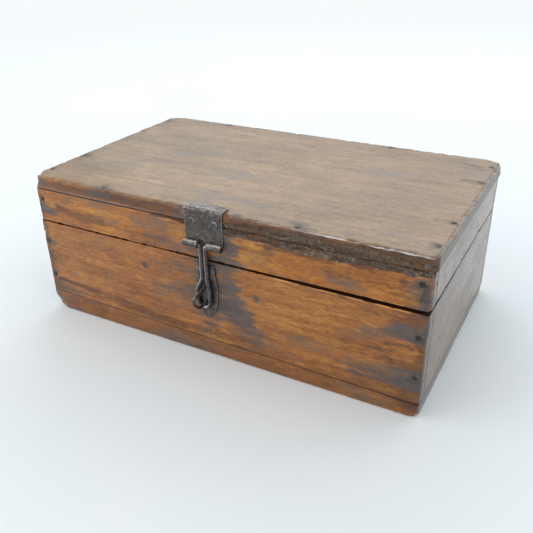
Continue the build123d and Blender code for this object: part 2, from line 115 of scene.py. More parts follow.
class ValueNoise:
    """Smooth random values in space, the same on every run."""

    cells = 256
    octave_shift = 17.3  # keeps the lattices of the sizes apart
    gain = 1.4  # widens the sum to about -1 and 1

    def __init__(self, seed: int) -> None:
        """Shuffles the lattice.

        Args:
            seed: gives another noise for each number.
        """
        shuffle = np.random.default_rng(seed)
        self.table = shuffle.permutation(self.cells)
        self.values = shuffle.uniform(-1.0, 1.0, self.cells)

    def at(self, points: Array) -> Array:
        """The lattice's values, blended over each cell by 6t^5 - 15t^4 + 10t^3.

        Args:
            points: places, in lattice cells.

        Returns:
            One value from -1 to 1 for each place.
        """
        cell = np.floor(points).astype(int)
        part = points - cell
        part = part**3 * (part * (part * 6.0 - 15.0) + 10.0)
        total = np.zeros(len(points))
        for corner in np.ndindex(2, 2, 2):
            index = np.zeros(len(points), int)
            weight = np.ones(len(points))
            for axis, step in enumerate(corner):
                index = self.table[(index + cell[:, axis] + step) & (self.cells - 1)]
                weight = weight * (part[:, axis] if step else 1.0 - part[:, axis])
            total += weight * self.values[index]
        return total

    def layered(self, points: Array, size: Sequence[float], octaves: int = 3) -> Array:
        """Noise of several sizes, each half as large and half as strong as the one before.

        Args:
            points: places in millimetres.
            size: the largest features along X, Y and Z, in millimetres.
            octaves: how many sizes are added.

        Returns:
            One value for each place, within about -1 and 1.
        """
        scaled = points / np.asarray(size, float)
        total = sum(self.at(scaled * 2**n + self.octave_shift * n) * 0.5**n for n in range(octaves))
        return total / (2.0 - 0.5 ** (octaves - 1)) * self.gain


# ---- skins


@dataclass
class Shell:
    """A closed skin of four-sided faces in millimetres, with named values on its vertices."""

    points: Array
    quads: Array
    masks: dict[str, Array] = field(default_factory=dict)

    def gather(self, corner_values: Array) -> Array:
        """Adds up, at each vertex, what the faces round it give.

        Args:
            corner_values: a value or a vector for each corner of each face.

        Returns:
            The sums, one row for each vertex.
        """
        index = self.quads.ravel()
        flat = corner_values.reshape(len(index), -1)
        sums = [np.bincount(index, flat[:, n], len(self.points)) for n in range(flat.shape[1])]
        return np.stack(sums, axis=1)

    def normals(self) -> Array:
        """The outward direction at each vertex, from the crossed diagonals of its faces.

        Returns:
            Unit vectors.
        """
        corners = self.points[self.quads]
        faces = np.cross(corners[:, 2] - corners[:, 0], corners[:, 3] - corners[:, 1])
        total = self.gather(np.repeat(faces[:, None], 4, axis=1))
        return total / np.maximum(np.linalg.norm(total, axis=1, keepdims=True), TINY)

    def neighbours_mean(self, values: Array) -> Array:
        """The mean of each vertex's neighbours along the edges.

        Args:
            values: a row for each vertex.

        Returns:
            The means, in the shape of values.
        """
        rows = values.reshape(len(self.points), -1)
        near = rows[np.roll(self.quads, 1, axis=1)] + rows[np.roll(self.quads, -1, axis=1)]
        count = self.gather(np.full(self.quads.shape, 2.0))
        return (self.gather(near) / np.maximum(count, 1.0)).reshape(values.shape)

    def sharpness(self) -> Array:
        """How far each vertex stands out of its neighbours.

        Returns:
            That height as a share of the distance to them.
        """
        mean = self.neighbours_mean(self.points)
        edges = self.points[np.roll(self.quads, -1, axis=1)] - self.points[self.quads]
        lengths = self.gather(np.linalg.norm(edges, axis=2)) / self.gather(np.ones(self.quads.shape))
        standing = ((self.points - mean) * self.normals()).sum(axis=1)
        return standing / np.maximum(lengths[:, 0], TINY)

    def softened(self, values: Array) -> Array:
        """Values moved half way to their neighbours' mean."""
        return 0.5 * (values + self.neighbours_mean(values))

    def sink(self, depth: Array) -> None:
        """Moves each vertex inwards along its normal by depth."""
        self.points = self.points - self.normals() * depth[:, None]

    @staticmethod
    def joined(shells: Sequence["Shell"]) -> "Shell":
        """One shell of several, with a value of 0 where a shell lacks a mask.

        Args:
            shells: the shells.

        Returns:
            The joined shell.
        """
        starts = np.cumsum([0, *(len(shell.points) for shell in shells)])
        names = {name for shell in shells for name in shell.masks}
        return Shell(
            np.concatenate([shell.points for shell in shells]),
            np.concatenate([shell.quads + start for shell, start in zip(shells, starts)]),
            {
                name: np.concatenate([s.masks.get(name, np.zeros(len(s.points))) for s in shells])
                for name in sorted(names)
            },
        )

    def put(self, name: str, finish: "Finish", body: Body, slot: Slot, node: str) -> None:
        """Makes the shell a piece that rides on a body and stands for a CAD node.

        Args:
            name: the piece's name.
            finish: what it is dressed with.
            body: the body it moves with.
            slot: the record's material slot; not used.
            node: the CAD node that it stands for.
        """
        mesh = bpy.data.meshes.new(name)
        mesh.vertices.add(len(self.points))
        mesh.vertices.foreach_set("co", (self.points * MILLIMETRE).astype(np.float32).ravel())
        mesh.loops.add(self.quads.size)
        mesh.loops.foreach_set("vertex_index", self.quads.astype(np.int32).ravel())
        mesh.polygons.add(len(self.quads))
        mesh.polygons.foreach_set("loop_start", np.arange(0, self.quads.size, 4, dtype=np.int32))
        mesh.polygons.foreach_set("use_smooth", np.ones(len(self.quads), bool))
        mesh.update(calc_edges=True)
        if finish.crisp:
            mesh.set_sharp_from_angle(angle=finish.crisp)
        for mask, values in self.masks.items():
            attribute = mesh.attributes.new(mask, "FLOAT", "POINT")
            attribute.data.foreach_set("value", values.astype(np.float32))
        mesh.materials.append(finish.material())
        piece = bpy.data.objects.new(name, mesh)
        bpy.context.scene.collection.objects.link(piece)
        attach(piece, body.value)
        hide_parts(node)
        log.info("%s: %d quads on %s", name, len(self.quads), body.value)


def ruled(low: float, high: float, step: float, first: float = 0.3, growth: float = 1.7) -> Array:
    """Lines from low to high, close together near both ends.

    The gaps grow from first until they reach step. Between, they are equal.

    Args:
        low: first line.
        high: last line.
        step: the largest gap.
        first: the gap at each end.
        growth: how many times as wide each gap is as the one before.

    Returns:
        The lines' places.
    """
    growing = first * growth ** np.arange(max(0, math.ceil(math.log(step / first, growth))))
    ends = np.concatenate([[0.0], np.cumsum(growing)])
    inner_low, inner_high = low + ends[-1], high - ends[-1]
    count = max(1, round((inner_high - inner_low) / step))
    inner = np.linspace(inner_low, inner_high, count + 1)
    return np.concatenate([low + ends[:-1], inner, (high - ends[:-1])[::-1]])


def cell_shell(xs: Array, ys: Array, zs: Array, solid: Array | None = None) -> Shell:
    """The skin of a block of cells: every cell face with nothing beyond it, facing outwards.

    Args:
        xs: the lines between the cells along X.
        ys: the same along Y.
        zs: the same along Z.
        solid: which cells are there, or None for all.

    Returns:
        The skin, with its corners shared.
    """
    lines = (xs, ys, zs)
    filled = np.zeros([len(line) + 1 for line in lines], bool)
    filled[1:-1, 1:-1, 1:-1] = True if solid is None else solid
    unit = np.eye(3, dtype=int)
    rings = []
    for axis in range(3):
        across, up = unit[(axis + 1) % 3], unit[(axis + 2) % 3]
        for side in (0, 1):
            open_side = filled & ~np.roll(filled, 1 - 2 * side, axis)
            start = np.argwhere(open_side) - 1 + unit[axis] * side
            ring = np.stack([start, start + across, start + across + up, start + up], axis=1)
            rings.append(ring if side else ring[:, ::-1])
    corners = np.concatenate(rings).reshape(-1, 3)
    keys = np.ravel_multi_index(corners.T, [len(line) for line in lines])
    found, index = np.unique(keys, return_inverse=True)
    places = np.unravel_index(found, [len(line) for line in lines])
    points = np.stack([line[place] for line, place in zip(lines, places)], axis=1)
    return Shell(points.astype(float), index.reshape(-1, 4))


def round_edges(points: Array, low: Point, high: Point, radii: dict[frozenset[Side], float]) -> Array:
    """Rounds the long edges of a block.

    Near an edge a point lies u and v inside the two centre lines of the rounding. Pulling it to
    them by max(u, v) / hypot(u, v) turns the square corner into a quarter circle.

    Args:
        points: the block's points.
        low: its lowest corner.
        high: its highest corner.
        radii: the rounding of each edge, named by its two faces.

    Returns:
        The moved points.
    """
    rounded = points.copy()
    for sides, radius in radii.items():
        centres, out = [], []
        for side in sorted(sides, key=lambda s: s.value):
            axis, end = side.value
            centre = high[axis] - radius if end else low[axis] + radius
            centres.append((axis, centre))
            out.append((rounded[:, axis] - centre) * (1 if end else -1))
        inside = (out[0] > 0) & (out[1] > 0)
        pull = np.maximum(out[0], out[1]) / np.maximum(np.hypot(out[0], out[1]), TINY)
        for axis, centre in centres:
            moved = centre + (rounded[:, axis] - centre) * pull
            rounded[:, axis] = np.where(inside, moved, rounded[:, axis])
    return rounded


def disc(across: Array, up: Array) -> tuple[Array, Array]:
    """Lays a square on a disc: each value times the root of 1 less half the other's square."""
    return across * np.sqrt(1.0 - up**2 / 2.0), up * np.sqrt(1.0 - across**2 / 2.0)


# ---- bent work


@dataclass(frozen=True)
class Bend:
    """A line in a flat: corners, each with the radius that it is bent to."""

    corners: tuple[Point, ...]
    closing_arc: Point | None = None
    closing_steps: int = 60
    steps_in_radian: int = 10

    def trace(self) -> Array:
        """The line's points, with each corner replaced by an arc that touches both of its runs.

        A closing arc goes on from the last corner round a centre, by an angle in degrees.

        Returns:
            The points in order, two values each.
        """
        places = np.array([corner[:2] for corner in self.corners])
        traced = [places[:1]]
        for index in range(1, len(places) - 1):
            traced.append(self._arc(places[index - 1 : index + 2], self.corners[index][2]))
        traced.append(places[-1:])
        if self.closing_arc:
            centre = np.array(self.closing_arc[:2])
            start = places[-1] - centre
            angles = np.radians(np.linspace(0.0, self.closing_arc[2], self.closing_steps))[1:, None]
            turned = np.concatenate([-start[1:], start[:1]])
            traced.append(centre + start * np.cos(angles) + turned * np.sin(angles))
        return np.concatenate(traced)

    def _arc(self, places: Array, radius: float) -> Array:
        """The arc in a corner, which leaves each run at radius times the tangent of half the turn.

        Args:
            places: the corner, between the places before and after it.
            radius: the arc's radius.

        Returns:
            The arc's points, or the corner itself where it is sharp or straight.
        """
        to_start, to_end = (places[n] - places[1] for n in (0, 2))
        to_start, to_end = (v / np.linalg.norm(v) for v in (to_start, to_end))
        turn = math.pi - math.acos(float(np.clip(to_start @ to_end, -1.0, 1.0)))
        if radius < TINY or turn < 1e-4:
            return places[1:2]
        reach = radius * math.tan(turn / 2)
        middle = places[1] + (to_start + to_end) * radius / math.sin(turn)
        first, last = (places[1] + way * reach - middle for way in (to_start, to_end))
        shares = np.linspace(0.0, 1.0, max(4, round(turn * self.steps_in_radian)))[:, None]
        swept = first * np.sin((1 - shares) * turn) + last * np.sin(shares * turn)
        return middle + swept / math.sin(turn)


@dataclass(frozen=True)
class Line:
    """A traced line, read by the distance along it."""

    trace: Array
    reach: float = 0.25  # how far to either side a direction is read

    @property
    def marks(self) -> Array:
        """The distance along the line at each traced point."""
        steps = np.linalg.norm(np.diff(self.trace, axis=0), axis=1)
        return np.concatenate([[0.0], np.cumsum(steps)])

    @property
    def length(self) -> float:
        """The line's whole length."""
        return float(self.marks[-1])

    def place(self, along: Array) -> Array:
        """The places at these distances from the line's start."""
        return np.stack([np.interp(along, self.marks, self.trace[:, n]) for n in (0, 1)], axis=1)

    def at(self, along: Array) -> tuple[Array, Array]:
        """Places and directions on the line.

        Args:
            along: distances from its start.

        Returns:
            The places, and the unit directions from the difference of two near places.
        """
        after = self.place(np.minimum(along + self.reach, self.length))
        ahead = after - self.place(np.maximum(along - self.reach, 0.0))
        return self.place(along), ahead / np.linalg.norm(ahead, axis=1, keepdims=True)


def rod(
    line: Line, plane: Plane, across: float, radius: float, noise: ValueNoise, step: float = 0.8,
    rubbed: Point = (-0.55, -0.75, 0.35), lines: int = 7, uneven: float = 0.05,
) -> Shell:
    """A hammered rod along a line: the square bar of cells is laid on discs across the line.

    The radius varies a little with the noise. Within one radius of an end it falls to half, as
    the root of 1 - 0.75 t^2.

    Args:
        line: its middle line.
        plane: the flat in which the line lies.
        across: where that flat is, along the axis across it.
        radius: the rod's radius.
        noise: what makes it uneven.
        step: the distance between rings.
        rubbed: the way that the side faces which is worn bright and carries a painted highlight.
        lines: how many lines each side of the bar has.
        uneven: how far the noise thins the rod, as a share of its radius.

    Returns:
        The closed rod.
    """
    square = np.linspace(-1.0, 1.0, lines)
    rings = ruled(0.0, line.length, step, 0.15)
    shell = cell_shell(square, square, rings)
    side, out = disc(shell.points[:, 0], shell.points[:, 1])
    along = shell.points[:, 2]
    place, ahead = line.at(along)
    flat, outward = np.eye(3)[list(plane.value[:2])], np.eye(3)[plane.value[2]]
    middle = place @ flat + across * outward
    beside = np.cross(outward, ahead @ flat)
    to_end = np.minimum(along, line.length - along)
    end = np.sqrt(1.0 - (1.0 - np.clip(to_end / radius, 0.0, 1.0)) ** 2 * 0.75)
    sampled = middle + side[:, None] * beside * 3
    thinned = 1.0 - uneven * (1.0 + noise.layered(sampled, (6.0, 6.0, 6.0)))
    facing = side[:, None] * beside + out[:, None] * outward
    # wear and a painted highlight on the side that faces the given way
    shell.masks["crest"] = ease(0.55, 0.95, facing @ np.array(rubbed)) * ease(0.0, 1.5, to_end)
    shell.points = middle + (radius * end * thinned)[:, None] * facing
    return shell


def folded_sheet(
    xs: Array, line: Line, thickness: float, step: float, solid: Callable[[Array, Array], Array],
    layers: int = 3,
) -> Shell:
    """A sheet of iron bent along a line in the chest's section.

    A flat block of cells across, along and through the sheet is carried along the line: a point's
    place along gives the line's place and direction, and its place through moves it square to them.

    Args:
        xs: lines across the sheet.
        line: the middle of the sheet, seen from the side.
        thickness: the sheet's thickness.
        step: the distance between the lines along it.
        solid: says which cells are there from their middles across and along.
        layers: how many cells lie through the sheet.

    Returns:
        The closed sheet.
    """
    along = ruled(0.0, line.length, step, 0.25)
    through = np.linspace(-thickness / 2, thickness / 2, layers + 1)
    middles = np.meshgrid((xs[1:] + xs[:-1]) / 2, (along[1:] + along[:-1]) / 2, indexing="ij")
    filled = np.repeat(solid(*middles)[:, :, None], layers, axis=2)
    shell = cell_shell(xs, along, through, filled)
    place, ahead = line.at(shell.points[:, 1])
    depth = shell.points[:, 2]
    shell.masks["along"] = shell.points[:, 1]
    shell.masks["through"] = depth
    shell.points = np.stack(
        [shell.points[:, 0], place[:, 0] - ahead[:, 1] * depth, place[:, 1] + ahead[:, 0] * depth], axis=1
    )
    return shell


# ---- finishes


def srgb(*display: int) -> Colour:
    """A display colour, 0 to 255 a channel, as the opaque linear colour that a shader takes."""
    channels = [value / 255 for value in display]
    return (*(c / 12.92 if c <= 0.04045 else ((c + 0.055) / 1.055) ** 2.4 for c in channels), 1.0)


class Tree:
    """Adds and links nodes in a material's or a group's tree."""

    def __init__(self, tree: bpy.types.NodeTree) -> None:
        """Works on this tree."""
        self.tree = tree

    def add(self, kind: str, inputs: dict | None = None, **settings: object) -> bpy.types.Node:
        """Adds a node.

        Args:
            kind: the node's type.
            inputs: by name or number, a socket to link or a value to set.
            **settings: the node's own properties.

        Returns:
            The node.
        """
        node = self.tree.nodes.new(kind)
        for name, value in settings.items():
            setattr(node, name, value)
        for key, value in (inputs or {}).items():
            if isinstance(value, bpy.types.NodeSocket):
                self.tree.links.new(value, node.inputs[key])
            else:
                node.inputs[key].default_value = value
        return node

    def math(self, operation: str, *values: object, clamp: bool = False) -> Socket:
        """Joins values in turn by Math nodes.

        Args:
            operation: what each node does.
            *values: the values, two or more.
            clamp: whether the last result is kept within 0 and 1.

        Returns:
            The last result.
        """
        result = values[0]
        for index, value in enumerate(values[1:], start=2):
            last = clamp and index == len(values)
            inputs = {0: result, 1: value}
            result = self.add("ShaderNodeMath", inputs, operation=operation, use_clamp=last).outputs[0]
        return result

    def plus(self, *values: object, clamp: bool = False) -> Socket:
        """The sum of several values."""
        return self.math("ADD", *values, clamp=clamp)

    def times(self, *values: object, clamp: bool = False) -> Socket:
        """The product of several values."""
        return self.math("MULTIPLY", *values, clamp=clamp)

    def less(self, first: object, second: object, clamp: bool = False) -> Socket:
        """The first value less the second."""
        return self.math("SUBTRACT", first, second, clamp=clamp)

    def most(self, *values: object) -> Socket:
        """The largest of several values."""
        return self.math("MAXIMUM", *values)

    def centred(self, value: object, gain: float) -> Socket:
        """How far a noise stands over its middle, times gain."""
        return self.times(self.less(value, 0.5), gain)

    def mix(self, factor: object, first: object, second: object, blend: str = "MIX") -> Socket:
        """The result of a colour Mix node."""
        inputs = {0: factor, 6: first, 7: second}
        return self.add("ShaderNodeMix", inputs, data_type="RGBA", blend_type=blend).outputs[2]

    def tint(self, factor: object, colour: object, red: float, green: float, blue: float) -> Socket:
        """A colour multiplied by a tint, as far as factor says."""
        return self.mix(factor, colour, self.mix(1.0, colour, (red, green, blue, 1.0), "MULTIPLY"))

    def step(self, value: object, low: float, high: float) -> Socket:
        """A smooth step from 0 at low to 1 at high."""
        inputs = {0: value, 1: low, 2: high, 3: 0.0, 4: 1.0}
        return self.add("ShaderNodeMapRange", inputs, interpolation_type="SMOOTHSTEP").outputs[0]

    def fibred(self, vector: object, share: float) -> Socket:
        """A vector whose X is multiplied by share, so that a pattern is drawn out along the fibres."""
        inputs = {0: vector, 1: (share, 1.0, 1.0)}
        return self.add("ShaderNodeVectorMath", inputs, operation="MULTIPLY").outputs[0]

    def noise(
        self, vector: object, scale: float, detail: float, distortion: float = 0.0, roughness: float = 0.5
    ) -> Socket:
        """A noise texture's value.

        Args:
            vector: where it is read.
            scale: how fine it is, per metre.
            detail: how many finer layers it has.
            distortion: how far it is bent.
            roughness: how strong the finer layers are.

        Returns:
            The value, 0 to 1.
        """
        labels = ("Vector", "Scale", "Detail", "Distortion", "Roughness")
        inputs = dict(zip(labels, (vector, scale, detail, distortion, roughness)))
        return self.add("ShaderNodeTexNoise", inputs).outputs[0]

    def bump(self, strength: float, distance: float, height: Socket) -> Socket:
        """The normal that a relief gives a surface."""
        inputs = {"Strength": strength, "Distance": distance, "Height": height}
        return self.add("ShaderNodeBump", inputs).outputs[0]

    def mask(self, label: str) -> Socket:
        """A value kept on the vertices, named by its label in small letters."""
        return self.add("ShaderNodeAttribute", attribute_name=label.lower().replace(" ", "_")).outputs["Fac"]


class ShaderGroup:
    """A node group with named sockets, built once and placed in each material that uses it."""

    name = ""
    inputs: dict[str, str] = {}
    outputs: dict[str, str] = {}

    @classmethod
    def place(cls, tree: Tree, values: dict) -> Sockets:
        """Puts the group in a tree with these inputs and returns its outputs."""
        group = bpy.data.node_groups.get(cls.name) or cls._make()
        return tree.add("ShaderNodeGroup", values, node_tree=group).outputs

    @classmethod
    def _make(cls) -> bpy.types.NodeTree:
        """Builds the group's sockets and nodes.

        Returns:
            The group.
        """
        group = bpy.data.node_groups.new(cls.name, "ShaderNodeTree")
        for direction, sockets in (("INPUT", cls.inputs), ("OUTPUT", cls.outputs)):
            for name, kind in sockets.items():
                group.interface.new_socket(name=name, in_out=direction, socket_type=f"NodeSocket{kind}")
        tree = Tree(group)
        tree.add("NodeGroupOutput", cls.build(tree, tree.add("NodeGroupInput").outputs))
        return group

    @classmethod
    def build(cls, tree: Tree, given: Sockets) -> dict[str, Socket]:
        """Adds the group's nodes to its tree and returns its outputs by name."""
        raise NotImplementedError


class HardwoodFigure(ShaderGroup):
    """The colour, pores and relief of hardwood with its fibres along X."""

    name = "hardwood_figure"
    inputs = {
        "Vector": "Vector", "Light": "Color", "Middle": "Color", "Dark": "Color",
        "Smoke": "Float", "Smoke Colour": "Color",
    }
    outputs = {"Color": "Color", "Tone": "Float", "Height": "Float"}
    # for each noise: share along X, scale, detail, distortion, roughness, part in the tone
    noises = {
        "fibres": (0.08, 1300.0, 2.0, 0.0, 0.5, 0.24),
        "flecks": (0.3, 640.0, 4.0, 0.3, 0.5, 0.42),
        "streaks": (0.07, 190.0, 3.0, 0.4, 0.5, 0.22),
        "bands": (0.2, 34.0, 4.0, 0.6, 0.5, 0.26),
        "blotches": (0.5, 62.0, 8.0, 0.3, 0.62, 0.36),
        "clouds": (0.45, 19.0, 5.0, 0.4, 0.5, 0.4),
    }

    @classmethod
    def build(cls, tree: Tree, given: Sockets) -> dict[str, Socket]:
        """Growth rings round a far heart, broken by streaks, flecks, fibres and short open pores.

        Args:
            tree: the group's tree.
            given: its inputs.

        Returns:
            Its outputs by name.
        """
        vector = given["Vector"]
        wave = {
            "Vector": tree.fibred(vector, 0.055), "Scale": 40.0, "Distortion": 9.0, "Detail": 3.0,
            "Detail Scale": 0.9,
        }
        tone = tree.times(tree.add("ShaderNodeTexWave", wave, wave_type="RINGS").outputs["Fac"], 0.1)
        made = {}
        for name, (along, *settings, part) in cls.noises.items():
            made[name] = tree.noise(tree.fibred(vector, along), *settings)
            tone = tree.plus(tone, tree.centred(made[name], part * 2.0))
        tone = tree.plus(tone, 0.46, clamp=True)
        colour = tree.mix(tree.step(tone, 0.05, 0.5), given["Dark"], given["Middle"])
        colour = tree.mix(tree.step(tone, 0.42, 0.95), colour, given["Light"])
        smoke = tree.noise(tree.fibred(vector, 0.42), 30.0, 10.0, 0.25, 0.66)
        smoke = tree.step(tree.plus(smoke, tree.centred(made["flecks"], 0.22)), 0.52, 0.66)
        colour = tree.mix(tree.times(smoke, given["Smoke"]), colour, given["Smoke Colour"])
        pores = tree.step(tree.noise(tree.fibred(vector, 0.07), 1500.0, 1.0), 0.6, 0.72)
        colour = tree.tint(tree.times(pores, 0.38), colour, 0.3, 0.26, 0.24)
        relief = tree.less(tree.times(made["flecks"], 0.5), tree.times(pores, 0.7))
        relief = tree.plus(relief, tree.times(made["fibres"], 0.3))
        return {"Color": colour, "Tone": tone, "Height": relief}


class AgeMarks(ShaderGroup):
    """What use and damp leave on wood: iron stain, dirt, torn fibres and worn edges, and painted shade and
    highlights.
    """

    name = "age_marks"
    masks = ("Iron Stain", "Grime", "Torn", "Ridge", "Rubbed", "Joint", "End", "Warm")
    inputs = {
        "Vector": "Vector", "Color": "Color", "Height": "Float", **dict.fromkeys(masks, "Float"),
        "Rubbed Colour": "Color",
    }
    outputs = {"Color": "Color", "Roughness": "Float", "Height": "Float", "Polish": "Float"}

    @classmethod
    def build(cls, tree: Tree, given: Sockets) -> dict[str, Socket]:
        """Each mark's soft mask is broken up along the fibres before it colours the wood.

        Args:
            tree: the group's tree.
            given: its inputs.

        Returns:
            Its outputs by name.
        """
        vector, end, warm = given["Vector"], tree.times(given["End"], 0.78), given["Warm"]
        fibres = tree.noise(tree.fibred(vector, 0.13), 300.0, 6.0, 0.0, 0.6)
        crumbs = tree.noise(vector, 520.0, 3.0)
        ragged = tree.less(tree.plus(tree.times(fibres, 0.7), tree.times(crumbs, 0.3)), 0.5)

        def broken(name: str, amount: float, low: float, high: float) -> Socket:
            """A mask with a ragged edge, which stays 0 where the soft mask is 0."""
            mask = tree.plus(given[name], tree.times(ragged, amount))
            return tree.times(tree.step(mask, low, high), tree.step(given[name], 0.0, 0.12))

        grime, torn = broken("Grime", 1.4, 0.1, 1.0), broken("Torn", 0.9, 0.2, 0.75)
        rubbed, joint = broken("Rubbed", 0.8, 0.2, 0.9), broken("Joint", 0.5, 0.2, 0.7)
        stain, core = broken("Iron Stain", 1.7, 0.12, 0.95), broken("Iron Stain", 1.1, 0.9, 1.25)
        joint = tree.times(joint, tree.less(1.0, tree.times(torn, 0.75)))
        curls = tree.noise(tree.fibred(vector, 0.6), 125.0, 4.0, 1.5)
        curl = tree.step(tree.math("ABSOLUTE", tree.less(curls, 0.5), 0.0), 0.04, 0.008)
        patches = tree.step(tree.noise(tree.fibred(vector, 0.6), 46.0, 2.0), 0.36, 0.56)
        ridge = tree.times(tree.times(curl, given["Ridge"]), tree.times(torn, patches))

        colour = tree.tint(warm, given["Color"], 1.05, 0.68, 0.38)
        end_colour = tree.mix(tree.step(crumbs, 0.3, 0.7), srgb(58, 51, 45), srgb(92, 82, 70))
        colour = tree.mix(end, colour, end_colour)
        # darkens where the dirt and shade mask says: dirt, concave places, and painted shade
        colour = tree.tint(tree.times(grime, 0.85), colour, 0.3, 0.27, 0.28)
        fibre_colour = tree.mix(tree.step(ragged, -0.14, 0.14), srgb(56, 42, 32), srgb(106, 85, 66))
        fibre_colour = tree.mix(tree.step(curls, 0.56, 0.68), fibre_colour, srgb(112, 70, 36))
        colour = tree.mix(torn, colour, fibre_colour)
        # the pale layer paints worn edges and painted highlights; the near black one dark lines where boards
        # meet and painted seam shade
        layers = (
            (ridge, 0.85, srgb(166, 152, 134)),
            (rubbed, 0.85, given["Rubbed Colour"]),
            (stain, 0.86, srgb(80, 76, 76)),
            (core, 0.75, srgb(40, 37, 38)),
            (joint, 0.92, srgb(30, 24, 21)),
        )
        for mask, share, paint in layers:
            colour = tree.mix(tree.times(mask, share), colour, paint)

        rough = tree.plus(tree.times(torn, 0.4), tree.times(stain, 0.18), tree.times(ragged, 0.25))
        rough = tree.plus(rough, 0.4, clamp=True)
        height = tree.plus(given["Height"], tree.times(crumbs, torn, 1.1), tree.times(ridge, 2.4))
        soiled = tree.times(tree.most(grime, end), 0.5)
        dull = tree.most(torn, joint, tree.times(stain, 0.6), soiled, tree.times(warm, 0.55))
        polish = tree.less(1.0, dull, clamp=True)
        return {"Color": colour, "Roughness": rough, "Height": height, "Polish": polish}


class IronSkin(ShaderGroup):
    """The colour, roughness and pits of old wrought iron."""

    name = "iron_skin"
    inputs = {
        "Vector": "Vector", "Scale Colour": "Color", "Rust Colour": "Color", "Bright Colour": "Color",
        "Rubbed": "Float",
    }
    outputs = {"Color": "Color", "Roughness": "Float", "Metallic": "Float", "Height": "Float"}

    @classmethod
    def build(cls, tree: Tree, given: Sockets) -> dict[str, Socket]:
        """Dark scale with rusty patches and pits, bright at worn edges and at painted highlights.

        Args:
            tree: the group's tree.
            given: its inputs.

        Returns:
            Its outputs by name.
        """
        vector, scale, worn = given["Vector"], given["Scale Colour"], given["Rubbed"]
        rust = tree.step(tree.noise(vector, 130.0, 4.0, 0.4), 0.44, 0.7)
        mottle = tree.noise(vector, 300.0, 5.0, 0.6)
        pits = tree.noise(vector, 620.0, 3.0)
        dust = tree.noise(vector, 1500.0, 2.0)
        pitted = tree.step(pits, 0.47, 0.34)
        dark = tree.mix(1.0, scale, (0.55, 0.55, 0.56, 1.0), "MULTIPLY")
        colour = tree.mix(tree.step(mottle, 0.36, 0.6), dark, scale)
        colour = tree.mix(tree.times(rust, 0.7), colour, given["Rust Colour"])
        colour = tree.tint(tree.times(pitted, 0.6), colour, 0.3, 0.28, 0.27)
        bright = tree.step(tree.plus(worn, tree.centred(pits, 0.6)), 0.3, 1.0)
        bright = tree.times(bright, tree.step(worn, 0.0, 0.1))
        bright = tree.most(bright, tree.times(tree.step(mottle, 0.6, 0.74), 0.22))
        colour = tree.mix(bright, colour, given["Bright Colour"])
        rough = tree.less(tree.plus(0.34, tree.times(rust, 0.26)), tree.times(bright, 0.12))
        metal = tree.less(0.9, tree.times(rust, 0.35))
        height = tree.plus(tree.times(pitted, -1.0), tree.times(dust, 0.3), tree.times(mottle, 0.8))
        return {"Color": colour, "Roughness": rough, "Metallic": metal, "Height": height}


class Finish:
    """A material that is made once, when a piece first asks for it."""

    name: str
    crisp: float = 0.0

    def material(self) -> bpy.types.Material:
        """The finish's material.

        Returns:
            The material, made now or earlier.
        """
        found = bpy.data.materials.get(self.name)
        if found:
            return found
        made = bpy.data.materials.new(self.name)
        made.use_nodes = True
        made.node_tree.nodes.clear()
        tree = Tree(made.node_tree)
        place = tree.add("ShaderNodeTexCoord").outputs["Object"]
        tree.add("ShaderNodeOutputMaterial", {"Surface": self.shader(tree, place).outputs[0]})
        return made

    def shader(self, tree: Tree, place: Socket) -> bpy.types.Node:
        """Adds the shader and what feeds it, from the object's own coordinates."""
        raise NotImplementedError


@dataclass(frozen=True)
class HardwoodFinish(Finish):
    """Waxed old hardwood."""

    name: str
    light: Colour
    middle: Colour
    dark: Colour
    # worn edges and painted highlights are mixed to this colour
    rubbed: Colour
    grain: Grain = Grain.ALONG_WIDTH
    heart: Point = (0.31, 0.17, -0.23)  # from the object's origin to the middle of the growth rings
    relief: float = 0.00022
    smoke: float = 0.65
    smoke_colour: Colour = srgb(88, 80, 74)
    coat: float = 0.34
    coat_roughness: float = 0.32
    end_coat: float = 0.7

    def shader(self, tree: Tree, place: Socket) -> bpy.types.Node:
        """Hardwood figure under age marks, on a waxed surface.

        Args:
            tree: the material's tree.
            place: the object's own coordinates.

        Returns:
            The shader's node.
        """
        turn = {"Vector": place, "Location": self.heart, "Rotation": (0.0, 0.0, self.grain.value)}
        turned = tree.add("ShaderNodeMapping", turn).outputs[0]
        figure = HardwoodFigure.place(tree, {
            "Vector": turned, "Light": self.light, "Middle": self.middle, "Dark": self.dark,
            "Smoke": self.smoke, "Smoke Colour": self.smoke_colour,
        })
        aged = AgeMarks.place(tree, {
            "Vector": turned, "Color": figure["Color"], "Height": figure["Height"],
            **{label: tree.mask(label) for label in AgeMarks.masks}, "Rubbed Colour": self.rubbed,
        })
        bump = tree.bump(0.9, self.relief, aged["Height"])
        streaky = tree.plus(0.5, tree.times(figure["Tone"], 1.1))
        wax = tree.times(tree.times(aged["Polish"], self.coat), streaky, clamp=True)
        return tree.add("ShaderNodeBsdfPrincipled", {
            "Base Color": aged["Color"], "Roughness": aged["Roughness"], "Normal": bump,
            "Coat Weight": tree.most(wax, tree.times(tree.mask("end"), self.end_coat)),
            "Coat Roughness": self.coat_roughness,
        })


@dataclass(frozen=True)
class IronFinish(Finish):
    """Old wrought iron."""

    name: str
    scale: Colour
    rust: Colour
    bright: Colour
    relief: float = 0.00025
    crisp: float = math.radians(38)

    def shader(self, tree: Tree, place: Socket) -> bpy.types.Node:
        """Iron skin on a half-metal surface.

        Args:
            tree: the material's tree.
            place: the object's own coordinates.

        Returns:
            The shader's node.
        """
        skin = IronSkin.place(tree, {
            "Vector": place, "Scale Colour": self.scale, "Rust Colour": self.rust,
            "Bright Colour": self.bright, "Rubbed": tree.mask("rubbed"),
        })
        bump = tree.bump(0.8, self.relief, skin["Height"])
        return tree.add("ShaderNodeBsdfPrincipled", {
            "Base Color": skin["Color"], "Roughness": skin["Roughness"], "Metallic": skin["Metallic"],
            "Normal": bump,
        })


